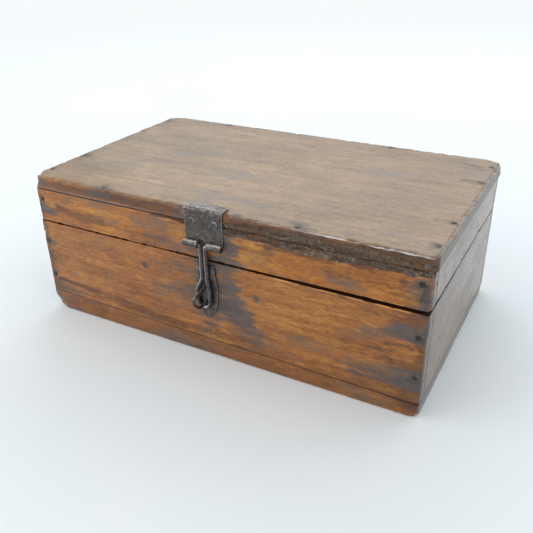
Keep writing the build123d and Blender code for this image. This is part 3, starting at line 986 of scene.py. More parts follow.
def seen_rays(tree: Tree) -> Socket:
    """1 where a surface is seen or mirrored, 0 where it only lights others."""
    rays = tree.add("ShaderNodeLightPath").outputs
    return tree.most(*(rays[f"Is {kind} Ray"] for kind in ("Camera", "Glossy", "Transmission")))


@dataclass(frozen=True)
class FloorFinish(Finish):
    """The plain pale floor."""

    name: str
    colour: Colour
    seen: Colour

    def shader(self, tree: Tree, place: Socket) -> bpy.types.Node:
        """A matt pale surface that passes into an even pale backdrop far from the chest.

        Args:
            tree: the material's tree.
            place: the object's own coordinates.

        Returns:
            The shader's node.
        """
        colour = tree.mix(tree.step(tree.noise(place, 3.0, 3.0), 0.3, 0.7), self.colour, self.seen)
        matt = {"Base Color": colour, "Roughness": 0.75, "Specular IOR Level": 0.2}
        surface = tree.add("ShaderNodeBsdfPrincipled", matt)
        backdrop = tree.add("ShaderNodeEmission", {"Color": self.seen, "Strength": 1.1})
        away = tree.add("ShaderNodeVectorMath", {0: place}, operation="LENGTH").outputs["Value"]
        share = tree.times(tree.step(away, 0.7, 2.4), seen_rays(tree))
        return tree.add("ShaderNodeMixShader", {0: share, 1: surface.outputs[0], 2: backdrop.outputs[0]})


# The fifth colour of each wood is for worn edges and painted highlights; the plank's near white one paints
# the highlight on its top front edge.
LID_TOP_WOOD = HardwoodFinish(
    "lid_top_hardwood", srgb(156, 116, 58), srgb(122, 90, 42), srgb(84, 62, 40), srgb(216, 210, 212),
    smoke=0.62, end_coat=0.12,
)
LID_RAIL_WOOD = HardwoodFinish(
    "lid_rail_hardwood", srgb(200, 136, 36), srgb(158, 92, 20), srgb(94, 56, 25), srgb(206, 160, 112),
    heart=(0.2, 0.4, 0.12), coat=0.16,
)
LID_END_WOOD = HardwoodFinish(
    "lid_end_hardwood", srgb(152, 112, 70), srgb(102, 70, 42), srgb(46, 33, 25), srgb(156, 128, 98),
    grain=Grain.ALONG_DEPTH, heart=(0.2, 0.3, 0.2), coat=0.87,
)
BOX_WOOD = HardwoodFinish(
    "box_hardwood", srgb(190, 127, 54), srgb(152, 92, 32), srgb(86, 54, 32), srgb(212, 146, 84),
    heart=(0.1, 0.33, -0.31), coat=0.16,
)
BOX_END_WOOD = HardwoodFinish(
    "box_end_hardwood", srgb(150, 110, 66), srgb(100, 69, 41), srgb(45, 32, 24), srgb(154, 126, 96),
    grain=Grain.ALONG_DEPTH, heart=(0.3, 0.2, -0.22), coat=0.85,
)
BOTTOM_WOOD = HardwoodFinish(
    "bottom_hardwood", srgb(172, 110, 46), srgb(130, 78, 30), srgb(78, 48, 26), srgb(176, 124, 78),
    heart=(0.15, 0.2, -0.3), coat=0.16,
)
NAIL_IRON = IronFinish("forged_nail_iron", srgb(76, 70, 68), srgb(66, 54, 46), srgb(96, 92, 90))
# its third colour is what worn edges and painted highlights are mixed to
WROUGHT_IRON = IronFinish("old_wrought_iron", srgb(101, 97, 95), srgb(92, 76, 66), srgb(204, 203, 206))
PALE_FLOOR = FloorFinish("pale_floor", srgb(233, 241, 243), srgb(236, 241, 242))


# ---- wear


@dataclass(frozen=True)
class ChestSize:
    """The sizes that the chest's boards, wear and fittings share."""

    front: float = -120.0
    back: float = 120.0
    box_width: float = 400.0
    lid_width: float = 403.0
    box_bottom: float = 17.5
    rim: float = 101.0
    lid_bottom: float = 101.3
    top_joint: float = 135.9
    top: float = 148.9
    board: float = 13.0


SIZE = ChestSize()


@dataclass(frozen=True)
class Mark:
    """A stain, dent or scar round a line from start to end."""

    start: Point
    radius: float
    strength: float = 1.0
    end: Point | None = None
    ragged: float = 0.45
    core: float = 0.25  # the share of its radius within which it is whole

    def on(self, points: Array, uneven: Array) -> Array:
        """The mark's strength at each point, falling smoothly to its ragged edge.

        Args:
            points: places in millimetres.
            uneven: noise from -1 to 1 at those places.

        Returns:
            Values from 0 to the mark's strength.
        """
        start = np.array(self.start)
        run = np.array(self.end or self.start) - start
        share = np.clip((points - start) @ run / max(float(run @ run), TINY), 0.0, 1.0)
        distance = np.linalg.norm(points - start - share[:, None] * run, axis=1)
        return self.strength * ease(1.0, self.core, distance / (self.radius * (1.0 + self.ragged * uneven)))


def front_mark(
    x: float, z: float, radius: float, strength: float = 1.0, to: tuple[float, float] | None = None,
    ragged: float = 0.6,
) -> Mark:
    """A mark on the chest's front: its place, reach and value, and where a long one ends."""
    end = (to[0], SIZE.front, to[1]) if to else None
    return Mark((x, SIZE.front, z), radius, strength, end, ragged)


def top_mark(
    x: float, y: float, radius: float, strength: float = 1.0, to: tuple[float, float] | None = None
) -> Mark:
    """A mark on the lid's top, a quarter wider than a front mark and 0.6 times as strong."""
    end = (to[0], to[1], SIZE.top) if to else None
    return Mark((x, y, SIZE.top), radius * 1.25, strength * 0.6, end)


def marks(maker: Callable[..., Mark], *rows: tuple) -> list[Mark]:
    """A mark for each row of values, made by maker."""
    return [maker(*row) for row in rows]


@dataclass(frozen=True)
class NailSeat:
    """Where a nail's head sits in a face."""

    place: Point
    side: Side


@dataclass
class ChestWear:
    """The marks of age, which run on from board to board, with painted shade and painted highlights among
    them.
    """

    undulation: float = 0.35
    tear_depth: float = 0.5
    tear_ridge: float = 1.3
    nail_pit: float = 0.6
    nail_radius: float = 3.2
    seam_opening: float = 2.3
    seam_reach: float = 12.0
    rail_inset: float = 1.25
    knock_way: Point = (0.62, 0.62, 0.48)
    tear_x: tuple[float, ...] = (14.0, 22.0, 40.0, 60.0, 85.0, 108.0, 130.0, 156.0, 180.0, 201.5)
    tear_low: tuple[float, ...] = (133.0, 128.0, 128.5, 129.5, 128.0, 128.0, 129.0, 130.0, 131.0, 132.0)
    tear_high: tuple[float, ...] = (137.0, 141.0, 143.0, 144.5, 144.5, 144.0, 145.5, 146.0, 143.5, 143.0)
    seats: tuple[NailSeat, ...] = ()

    def __post_init__(self) -> None:
        """Seeds the noises and places the marks."""
        self.broad, self.fine, self.curly = ValueNoise(11), ValueNoise(23), ValueNoise(37)
        self.dents = self.scattered()
        self.knocks = self.corner_knocks()
        self.iron_stains = self.stains()
        self.grime = self.soiled()
        self.tears = marks(
            front_mark,
            (-55, 134.6, 2.6, 0.9, (-38, 134.2), 0.9), (-36, 134.0, 4.2, 0.9, (-19, 132.6), 0.9),
        )
        self.cracks = marks(
            front_mark,
            (-57, 135.2, 0.9, 1.0, (-38, 134.4), 0.2), (-38, 134.4, 1.4, 1.6, (-17, 132.6), 0.2),
            (49, 127.4, 0.8, 1.2, (55, 127.1), 0.2), (84, 131.0, 1.0, 1.6, (99, 132.0), 0.3),
            (195.8, 124, 2.6, 2.0, (193, 111), 0.5), (-70.7, 79.8, 2.2, 0.7),
            (-189, 36.5, 1.2, 0.8, (-150, 33)),
        )

    def scattered(self) -> list[Mark]:
        """Small dents at random.

        Returns:
            70 dents on the front and back, 60 on the top and 30 on each end.
        """
        dice = np.random.default_rng(5)
        draw, dents = dice.uniform, []
        for _ in range(70):
            place = (draw(-200, 200), dice.choice([SIZE.front, SIZE.back]), draw(5, 145))
            dents.append(Mark(place, draw(1.2, 4.0), draw(0.15, 0.55)))
        for _ in range(60):
            place = (draw(-200, 200), draw(-120, 120), SIZE.top)
            dents.append(Mark(place, draw(1.2, 4.5), draw(0.1, 0.4)))
        for end in (-200.5, 200.5):
            for _ in range(30):
                place = (end, draw(-118, 118), draw(5, 146))
                dents.append(Mark(place, draw(1.2, 4.0), draw(0.15, 0.6)))
        return dents

    def corner_knocks(self) -> list[Mark]:
        """The knocks on the eight corners.

        Returns:
            A mark for each corner, which reaches as far and as deep as the knock.
        """
        lid, box = SIZE.lid_width / 2, SIZE.box_width / 2
        corners = (
            (-lid, SIZE.front, SIZE.top, 17, 3.0), (lid, SIZE.front, SIZE.top, 10, 1.4),
            (lid, SIZE.back, SIZE.top, 14, 2.2), (-lid, SIZE.back, SIZE.top, 13, 2.0),
            (-box, SIZE.front, 0.0, 17, 3.2), (-box, SIZE.back, 0.0, 14, 2.4),
            (box, SIZE.front, 0.0, 9, 1.2), (box, SIZE.back, 0.0, 12, 1.8),
        )
        return [Mark((x, y, z), radius, depth, ragged=0) for x, y, z, radius, depth in corners]

    def stains(self) -> list[Mark]:
        """The blue-black stains that iron leaves in damp hardwood.

        Returns:
            Marks round the nails and the hasp, on the front and on the lid's top.
        """
        front = marks(
            front_mark,
            (194.3, 77.7, 8), (193.5, 38, 8), (-187.5, 75.5, 7, 0.4), (-197, 118.6, 9, 0.7, (-182, 113)),
            (-196, 141, 7, 0.6, (-182, 142)), (-200, 122, 6, 0.9, (-199, 112), 0.8),
            (-34, 96, 13, 0.5, (-12, 84), 0.9), (-60, 62, 10, 0.4, (-16, 64), 0.9),
            (17, 116, 17, 0.75, (20, 56), 0.8), (24, 74, 18, 0.6, (36, 52), 0.9),
            (34, 52, 16, 0.6, (50, 34), 0.9), (-60, 34, 20, 0.3, (-20, 50), 0.9),
            (34, 100, 9, 0.4, None, 0.9), (54, 71, 7, 0.4, None, 0.9), (0, 118, 12, 0.9),
            (24, 114, 15, 0.75, (14, 104), 0.8), (-17, 108, 8, 0.5, None, 0.8), (-8.7, 26.7, 9, 0.45),
            (50, 75.7, 4.5, 0.95), (-70.7, 79.8, 6, 0.6), (0, 94, 19, 0.7, (1, 44), 0.7),
            (-6, 108, 22, 0.6, None, 0.7), (-18, 128, 8, 0.6, (20, 124)), (24, 128, 7, 0.6, (24, 112), 0.8),
            (194, 122, 8, 0.8, (196, 113), 0.9), (199, 120, 6, 1.0, (197, 110), 0.9),
            (188, 124, 5, 0.7, None, 0.9), (196, 104, 5, 0.6, None, 0.9),
            (186, 118, 12, 0.4, (192, 106), 0.9),
            (152, 74, 11, 0.6, (200, 77), 0.9), (140, 35, 12, 0.6, (200, 37), 0.9),
            (176, 76, 10, 0.7, (200, 76), 0.9), (176, 30, 12, 0.6, (200, 36), 0.9),
            (-131, 142, 5, 0.6, (-105, 142)), (-30, 139, 9, 0.7, (-20, 138)),
        )
        round_plate = marks(
            Mark,
            ((0, -117, 149.5), 17, 0.55, (8, -117, 149.5)), ((-24, -118, 149), 8, 0.6),
            ((31, -116, 149), 9, 0.6),
        )
        top = marks(
            top_mark,
            (-192.7, -51.4, 7, 0.9), (-196.8, 58, 6, 0.9), (-170.7, 84.5, 6, 0.7), (-116, 115, 7, 0.9),
            (91.5, 118, 7, 0.9), (172, 93.3, 6, 0.8, (182, 93)), (180, 49, 7, 0.9, (194, 49)),
            (182, -50, 7, 0.9, (196, -50)), (191, -98.2, 8, 0.9), (100.6, -116.1, 7, 0.8, (80, -104)),
            (-113.2, -115.9, 7, 0.9), (-18.5, 12.5, 3.5, 0.7), (40.1, -90.5, 4, 0.7), (128.6, 2.7, 4, 0.6),
            (172.6, -32.2, 4, 0.5), (-108.5, -74.9, 2.0, 0.5, (-84.2, -81.4)),
        )
        round_nails = [
            Mark(seat.place, radius, strength * (0.6 if seat.side is Side.TOP else 1.0), ragged=0.8)
            for seat in self.seats
            for radius, strength in ((5.5, 0.5), (15.0, 0.4))
        ]
        return front + round_plate + top + round_nails

    def soiled(self) -> list[Mark]:
        """Dirt of hands and floors, and painted shade under the torn band and at the back of the lid's top.
        """
        front = marks(
            front_mark,
            (-173, 119, 7, 0.75, (-118, 113)), (-118, 113, 5, 0.4, (-40, 110)),
            (-188, 38, 4, 0.8, (-137, 32)), (-137, 31, 5, 0.5, (-30, 24)), (-70.7, 79.8, 5, 0.9),
            # painted shadow under the torn band
            (124, 131.5, 4, 0.9, (151, 131)),
            (60, 128, 5, 0.7, (120, 129)), (177.7, 124.3, 4, 0.9), (91, 100, 2.2, 0.6, (127, 98.6)),
            (127, 98.6, 2.2, 0.6, (160, 91)), (-196, 92, 9, 0.5, (-196, 30)), (196, 95, 9, 0.5, (196, 30)),
            (-200, 128, 10, 0.5, (-200, 105)), (-90, 140, 6, 0.3, (-60, 140)), (60, 50, 12, 0.35, (150, 60)),
            (-150, 60, 10, 0.3, (-60, 55)), (110, 85, 9, 0.35, (185, 92)),
            # the long wide marks from here on darken the front towards both ends and along the bottom
            (-199, 112, 16, 0.5, (-199, 20), 0.9),
            (198, 100, 26, 0.55, (198, 20), 0.9), (-185, 27, 12, 0.5, (195, 22), 0.9),
            (-200, 142.5, 7, 0.65, (-28, 142.5)), (28, 143, 9, 0.75, (200, 143)),
            (178, 108, 16, 0.45, (200, 108), 0.9), (120, 118, 12, 0.35, (140, 126), 0.9),
            (-25, 58, 26, 0.35, (30, 50), 0.9), (28, 124, 11, 0.55, (62, 121), 0.9),
            (150, 122, 12, 0.35, (190, 120), 0.9), (192, 8, 12, 0.5, (200, 30), 0.9),
            (150, 30, 14, 0.35, (196, 24), 0.9),
        )
        # painted shade: the lid's top darkened along its back edge and its left end
        return front + marks(
            Mark,
            ((-190.0, SIZE.back, SIZE.top), 62, 0.42, (190.0, SIZE.back, SIZE.top), 0.6),
            ((-200.0, -60.0, SIZE.top), 30, 0.3, (-200.0, 90.0, SIZE.top), 0.8),
        )

    def torn(self, points: Array) -> Array:
        """How torn the front is: a ragged band along the joint under the top board.

        Args:
            points: places on a board.

        Returns:
            1 inside the band, 0 away from it and behind the front's first centimetre.
        """
        x, y, z = points.T
        ragged = self.fine.layered(points, (7.0, 9.0, 5.0), 3)
        low = np.interp(x, self.tear_x, self.tear_low) + 1.6 * ragged
        high = np.interp(x, self.tear_x, self.tear_high) + 1.8 * ragged
        within = ease(low - 0.9, low + 0.9, z) * ease(high + 0.9, high - 0.9, z)
        patchy = ease(-1.05, -0.5, self.broad.layered(points + 40.0, (26.0, 40.0, 11.0), 2))
        band = np.maximum(within * patchy * ease(13.0, 21.0, x), self.total(self.tears, points))
        return band * ease(SIZE.front + 7.0, SIZE.front + 3.0, y)

    def ridges(self, points: Array) -> Array:
        """The torn band's curly ridges: 1 where a bent noise crosses 0, 0 a little way off."""
        bent = points + 2.6 * self.fine.layered(points, (9.0, 9.0, 6.0), 2)[:, None]
        return ease(0.25, 0.02, np.abs(self.curly.layered(bent, (8.5, 8.0, 5.0), 2)))

    def depth(self, points: Array) -> Array:
        """How far the surface has gone back at each point.

        The planing's broad waves, dents, cracks and nail pits add up.

        Args:
            points: places on a board.

        Returns:
            Depths in millimetres.
        """
        waves = self.broad.layered(points, (70.0, 24.0, 14.0), 2)
        depth = self.undulation * 0.5 * (1.0 + waves)
        depth += 0.05 * (1.0 + self.fine.layered(points, (30.0, 3.0, 2.4), 2))
        even = np.zeros(len(points))
        for mark in (*self.dents, *self.cracks):
            depth += mark.on(points, even)
        for seat in self.seats:
            away = np.linalg.norm(points - np.array(seat.place), axis=1) / self.nail_radius
            depth += self.nail_pit * ease(1.35, 0.9, away)
        return depth

    def knocked(self, points: Array) -> Array:
        """How far knocks have pushed the corners in: each mark's value times the way inwards.

        Args:
            points: places on a board.

        Returns:
            The moves.
        """
        push, even = np.zeros_like(points), np.zeros(len(points))
        for mark in self.knocks:
            inwards = np.sign(np.array((0.0, 0.0, SIZE.top / 2)) - mark.start) * self.knock_way
            push += mark.on(points, even)[:, None] * inwards
        return push

    def total(self, several: Sequence[Mark], points: Array) -> Array:
        """Several marks together: 1 less the product of what each leaves.

        Args:
            several: the marks.
            points: places on a board.

        Returns:
            Values from 0 to 1.
        """
        uneven = 0.8 * self.fine.layered(points, (16.0, 6.0, 3.4), 4)
        uneven = np.clip(uneven + 0.6 * self.broad.layered(points, (30.0, 12.0, 8.0), 2), -1, 1)
        left = np.ones(len(points))
        for mark in several:
            left = left * (1.0 - np.clip(mark.on(points, uneven), 0.0, 1.0))
        return 1.0 - left

    def crest(self, points: Array) -> Array:
        """The bright lines on the front's edges, painted highlights on worn edges.

        One runs along the lid's top front edge, one along the box's rim right of the hasp, and a
        weak lip along the top board's lower edge left of it.

        Args:
            points: places on a board.

        Returns:
            Values from 0 to 1.
        """
        in_front, under_top = points[:, 1] - SIZE.front, SIZE.top - points[:, 2]
        along, height = points * (1, 0, 0), points[:, 2]
        # a near white painted highlight along the lid's top front edge
        line = ease(1.6, 0.4, np.abs(in_front - under_top - 0.9)) * ease(4.4, 2.4, in_front + under_top)
        line = line * (0.3 + 0.7 * ease(30.0, 95.0, points[:, 0]))
        line = line * (0.75 + 0.45 * self.fine.layered(along, (9.0, 9.0, 9.0), 4))
        lip = ease(1.1, 0.3, np.abs(SIZE.top_joint + 1.0 - height)) * ease(1.6, 0.8, in_front)
        lip = lip * ease(-25.0, -60.0, points[:, 0])
        rim = 0.85 * ease(1.5, 0.5, np.abs(SIZE.rim - 1.4 - height)) * ease(2.4, 0.9, in_front)
        rim = rim * ease(20.0, 80.0, points[:, 0])
        rim = rim * ease(-0.35, 0.4, self.fine.layered(along + 7.0, (17.0, 9.0, 9.0), 3))
        return np.maximum(np.maximum(line, rim), 0.5 * lip)

    def warm(self, points: Array) -> Array:
        """Where the top board's long edges keep the colour of oiled wood.

        Args:
            points: places on a board.

        Returns:
            1 on those edges, 0 on the lid's top and under the board.
        """
        to_face = np.minimum(points[:, 1] - SIZE.front, SIZE.back - points[:, 1])
        under_top = ease(0.2, 1.4, SIZE.top - points[:, 2])
        return ease(2.6, 1.2, to_face) * under_top * (points[:, 2] > SIZE.top_joint - 0.1)

    def age(self, shell: Shell, chips: Array, joints: Array, ends: Array) -> None:
        """Wears a board and keeps the marks on its vertices.

        Args:
            shell: the board's skin.
            chips: how near each vertex lies to an edge that hands and knocks reach, 0 to 1.
            joints: how near it lies to where it meets another board, or to the painted shade of the lid's
                seam, 0 to 1.
            ends: how near it lies to the board's sawn ends, 0 to 1.
        """
        flat = shell.points.copy()
        torn, ridges = self.torn(flat), self.ridges(flat)
        nicks = self.fine.layered(flat + 90.0, (7.0, 7.0, 7.0), 3)
        from_seam = np.abs(flat[:, 2] - (SIZE.rim + SIZE.lid_bottom) / 2)
        reached = 0.35 + 0.65 * ease(2.0, 14.0, from_seam)
        depth = self.depth(flat) + chips * (0.2 + 1.5 * reached * ease(0.16, 0.75, nicks))
        shell.sink(np.maximum(depth, 0.02))
        shell.points[:, 1] += torn * (self.tear_depth + self.tear_ridge * (1.0 - ridges))
        shell.points += self.knocked(flat)
        sharp = shell.softened(shell.sharpness())
        light = np.maximum(ease(50.0, 90.0, flat[:, 0]), ease(40.0, 30.0, np.abs(flat[:, 0])))
        # concave places are darkened through the dirt and shade mask
        hollows = ease(0.02, -0.16, sharp) * 0.6
        edges = np.maximum(ease(0.05, 0.22, sharp) * 0.18, self.crest(flat))
        shell.masks = {
            "iron_stain": self.total(self.iron_stains, flat),
            "grime": np.clip(self.total(self.grime, flat) + hollows, 0, 1),
            "torn": torn,
            "ridge": (0.35 + 0.65 * ridges) * (0.3 + 0.7 * light),
            "rubbed": np.clip(edges * (1.0 - torn), 0, 1),
            "end": ends,
            "joint": joints,
            "warm": self.warm(flat),
        }

    def open_seam(self, points: Array, board: "WornBoard") -> Array:
        """Opens the seam between lid and box towards the right, where the boards have shrunk.

        The board's face at the seam goes back by a ragged depth that grows along X, and the wood
        behind it follows, less and less, over a dozen millimetres. The lid's rails have shrunk at
        their right end until they stand level with the box.

        Args:
            points: the board's points.
            board: which board it is.

        Returns:
            The moved points.
        """
        moved = points.copy()
        if board.ends_at(SIZE.top_joint, Side.TOP):
            moved[:, 0] -= self.rail_inset * ease(196.0, 201.5, points[:, 0])
        to_front = 0.72 * ease(-20.0, -116.0, points[:, 1]) + 0.28 * ease(122.0, 60.0, points[:, 1])
        opening = 0.15 + self.seam_opening * ease(-80.0, 190.0, points[:, 0]) * to_front
        opening = opening + 0.25 * self.fine.layered(points * (1, 1, 0), (34.0, 9.0, 9.0), 3)
        for height, side, share in ((SIZE.lid_bottom, Side.UNDER, 0.6), (SIZE.rim, Side.TOP, -0.4)):
            if board.ends_at(height, side):
                near = ease(self.seam_reach, 0.0, np.abs(points[:, 2] - height))
                moved[:, 2] += share * np.maximum(opening, 0.0) * near
        return moved


# ---- boards


def edge(first: Side, second: Side) -> frozenset[Side]:
    """The edge between two faces."""
    return frozenset((first, second))


WALLS = (Side.FRONT, Side.BACK, Side.LEFT, Side.RIGHT)
UPRIGHTS = tuple(edge(a, b) for a in (Side.LEFT, Side.RIGHT) for b in (Side.FRONT, Side.BACK))
EDGES = tuple((a, b) for a in Side for b in Side if a.value[0] < b.value[0])


@dataclass
class WornBoard:
    """A sawn board whose edges are rounded and whose faces are worn.

    low and high are its corners. near names its faces that are part of the chest's outside, and
    outer the rounding of its edges there. taper is its face that rises along X by slope, where
    the bottom tapers.
    """

    node: str
    low: Point
    high: Point
    finish: HardwoodFinish
    body: Body
    slot: Slot
    near: tuple[Side, ...]
    steps: Point
    outer: dict[frozenset[Side], float]
    taper: Side | None = None
    slope: float = -0.015
    arris: float = 0.55

    def face(self, side: Side) -> float:
        """Where a face is, along the axis that it looks along."""
        axis, end = side.value
        return (self.high if end else self.low)[axis]

    def ends_at(self, height: float, side: Side) -> bool:
        """Whether the board's upper or lower face is at this height."""
        return abs(self.face(side) - height) < 0.01

    def gap(self, points: Array, side: Side) -> Array:
        """How far each point is from a face."""
        return np.abs(points[:, side.value[0]] - self.face(side))

    def skin(self) -> Shell:
        """The board before wear.

        Returns:
            A block of cells with every long edge rounded.
        """
        shell = cell_shell(*(ruled(a, b, step) for a, b, step in zip(self.low, self.high, self.steps)))
        radii = {edge(*sides): self.outer.get(edge(*sides), self.arris) for sides in EDGES}
        shell.points = round_edges(shell.points, self.low, self.high, radii)
        return shell

    def exposure(self, points: Array) -> Array:
        """How near each point lies to an edge between two outer faces: 1 on it, 0 from 5 mm away."""
        gaps = np.stack([self.gap(points, side) for side in self.near])
        return ease(5.0, 0.5, np.sort(gaps, axis=0)[1])

    def joints(self, points: Array) -> Array:
        """How near each point lies to where two boards meet, or to the lid's seam, whose shade is painted.

        Args:
            points: the board's points.

        Returns:
            1 on an edge shared with another board, and as painted shade inside the lid's seam and along it on
            the right end, 0 a little way off.
        """
        gaps = {side: self.gap(points, side) for side in Side}
        near = np.zeros(len(points))
        for first, second in EDGES:
            if edge(first, second) not in self.outer:
                near = np.maximum(near, ease(1.2, 0.35, np.maximum(gaps[first], gaps[second])))
        # painted shade: the faces inside the lid's seam, and a line along the seam at the right end, are
        # darkened
        for side, height in ((Side.TOP, SIZE.rim), (Side.UNDER, SIZE.lid_bottom)):
            if self.ends_at(height, side):
                outside = np.min([gaps[other] for other in self.near if other is not side], axis=0)
                inside = ease(0.7, 1.6, outside) * ease(9.0, 5.0, outside)
                near = np.maximum(near, ease(0.8, 0.1, gaps[side]) * inside)
                near = np.maximum(near, ease(1.3, 0.5, gaps[side]) * ease(2.0, 1.2, gaps[Side.RIGHT]))
        return near

    def tapered(self, points: Array) -> Array:
        """Points with the tapering face tilted, and what lies between moved in proportion.

        Args:
            points: the board's points.

        Returns:
            The moved points.
        """
        if self.taper is None:
            return points
        share = (points[:, 2] - self.low[2]) / (self.high[2] - self.low[2])
        if self.taper is Side.UNDER:
            share = 1.0 - share
        moved = points.copy()
        moved[:, 2] += self.slope * points[:, 0] * np.clip(share, 0, 1)
        return moved

    def build(self, wear: ChestWear) -> None:
        """Makes the worn piece.

        Args:
            wear: the chest's marks of age.
        """
        shell = self.skin()
        chips, joints = self.exposure(shell.points), self.joints(shell.points)
        sawn = (Side.LEFT, Side.RIGHT) if self.finish.grain is Grain.ALONG_WIDTH else (Side.FRONT, Side.BACK)
        ends = ease(1.6, 0.4, np.minimum(*(self.gap(shell.points, side) for side in sawn)))
        shell.points = wear.open_seam(self.tapered(shell.points), self)
        wear.age(shell, chips, joints, ends)
        shell.put(f"{self.node}_worn", self.finish, self.body, self.slot, self.node)


@dataclass
class Walls:
    """Four boards that stand round a hollow, the ends between the front and the back.

    seam is the side at which they meet the other half of the chest. steps gives the largest
    gaps between the lines of the front, the back and the two ends.
    """

    names: str
    width: float
    low: float
    high: float
    finish: HardwoodFinish
    end_finish: HardwoodFinish
    body: Body
    slot: Slot
    seam: Side
    corner: float
    steps: tuple[Point, Point, Point]
    taper: Side | None = None
    seam_arris: float = 1.1

    def wall(self, side: Side) -> WornBoard:
        """One of the four boards.

        Args:
            side: where it stands.

        Returns:
            The board.
        """
        axis, end = side.value
        long = side in (Side.FRONT, Side.BACK)
        low = [-self.width / 2, SIZE.front if long else SIZE.front + SIZE.board, self.low]
        high = [self.width / 2, SIZE.back if long else SIZE.back - SIZE.board, self.high]
        if end:
            low[axis] = high[axis] - SIZE.board
        else:
            high[axis] = low[axis] + SIZE.board
        corners = {edge(other, side): self.corner for other in (Side.LEFT, Side.RIGHT) if long}
        return WornBoard(
            self.names.format(side.name.lower()), tuple(low), tuple(high),
            self.finish if long else self.end_finish, self.body, self.slot,
            near=(*((Side.LEFT, Side.RIGHT) if long else ()), side, self.seam),
            steps=self.steps[end if long else 2],
            outer={**corners, edge(side, self.seam): self.seam_arris},
            taper=self.taper,
        )


@dataclass
class LidBoards:
    """The lid: a plank on four rails."""

    corner: float = 7.0
    top_edge: float = 3.0

    def boards(self) -> list[WornBoard]:
        """The lid's boards.

        Returns:
            The plank and the four rails.
        """
        x = SIZE.lid_width / 2
        plank = WornBoard(
            "lid_top_board", (-x, SIZE.front, SIZE.top_joint), (x, SIZE.back, SIZE.top),
            LID_TOP_WOOD, Body.LID, Slot.LID_TOP, near=(*WALLS, Side.TOP), steps=(1.15, 2.4, 0.8),
            outer={
                **dict.fromkeys(UPRIGHTS, self.corner),
                **{edge(wall, Side.TOP): self.top_edge for wall in WALLS},
            },
        )
        rails = Walls(
            "lid_{}_rail", SIZE.lid_width, SIZE.lid_bottom, SIZE.top_joint, LID_RAIL_WOOD, LID_END_WOOD,
            Body.LID, Slot.LID_RAIL, seam=Side.UNDER, corner=self.corner,
            steps=((0.75, 1.2, 0.75), (1.6, 1.2, 1.6), (1.5, 1.5, 1.3)),
        )
        return [plank, *(rails.wall(side) for side in WALLS)]

    def build(self, wear: ChestWear) -> None:
        """Makes the lid's boards."""
        for board in self.boards():
            board.build(wear)


@dataclass
class BoxBoards:
    """The box: four walls on a bottom board that tapers to the right."""

    corner: float = 3.0
    worn_foot: float = 8.0
    foot: float = 4.0
    long_foot: float = 1.6
    bottom_arris: float = 0.6

    def boards(self) -> list[WornBoard]:
        """The box's boards.

        Returns:
            The bottom board and the four walls.
        """
        x = SIZE.box_width / 2
        feet = zip(WALLS, (self.long_foot, self.long_foot, self.worn_foot, self.foot))
        bottom = WornBoard(
            "bottom_board", (-x, SIZE.front, 0.0), (x, SIZE.back, SIZE.box_bottom),
            BOTTOM_WOOD, Body.BOX, Slot.BOTTOM, near=WALLS, steps=(1.7, 2.0, 1.2),
            outer={
                **dict.fromkeys(UPRIGHTS, self.corner),
                **{edge(wall, Side.UNDER): foot for wall, foot in feet},
                edge(Side.FRONT, Side.TOP): self.bottom_arris,
            },
            taper=Side.TOP,
        )
        walls = Walls(
            "box_{}_board", SIZE.box_width, SIZE.box_bottom, SIZE.rim, BOX_WOOD, BOX_END_WOOD,
            Body.BOX, Slot.BOX, seam=Side.TOP, corner=self.corner,
            steps=((1.1, 1.4, 1.1), (1.8, 1.4, 1.8), (1.5, 1.5, 1.5)), taper=Side.UNDER,
        )
        return [bottom, *(walls.wall(side) for side in WALLS)]

    def build(self, wear: ChestWear) -> None:
        """Makes the box's boards."""
        for board in self.boards():
            board.build(wear)


# ---- nails


def round_head(lines: int) -> tuple[Shell, Array, Array, Array]:
    """A slab of two layers of cells whose square is laid on a disc.

    Args:
        lines: how many lines each side of the square has.

    Returns:
        The slab, its points' two places on the disc, and how far they are from its middle.
    """
    square = np.linspace(-1.0, 1.0, lines)
    head = cell_shell(square, square, np.array([0.0, 0.5, 1.0]))
    across, up = disc(head.points[:, 0], head.points[:, 1])
    return head, across, up, np.hypot(across, up)


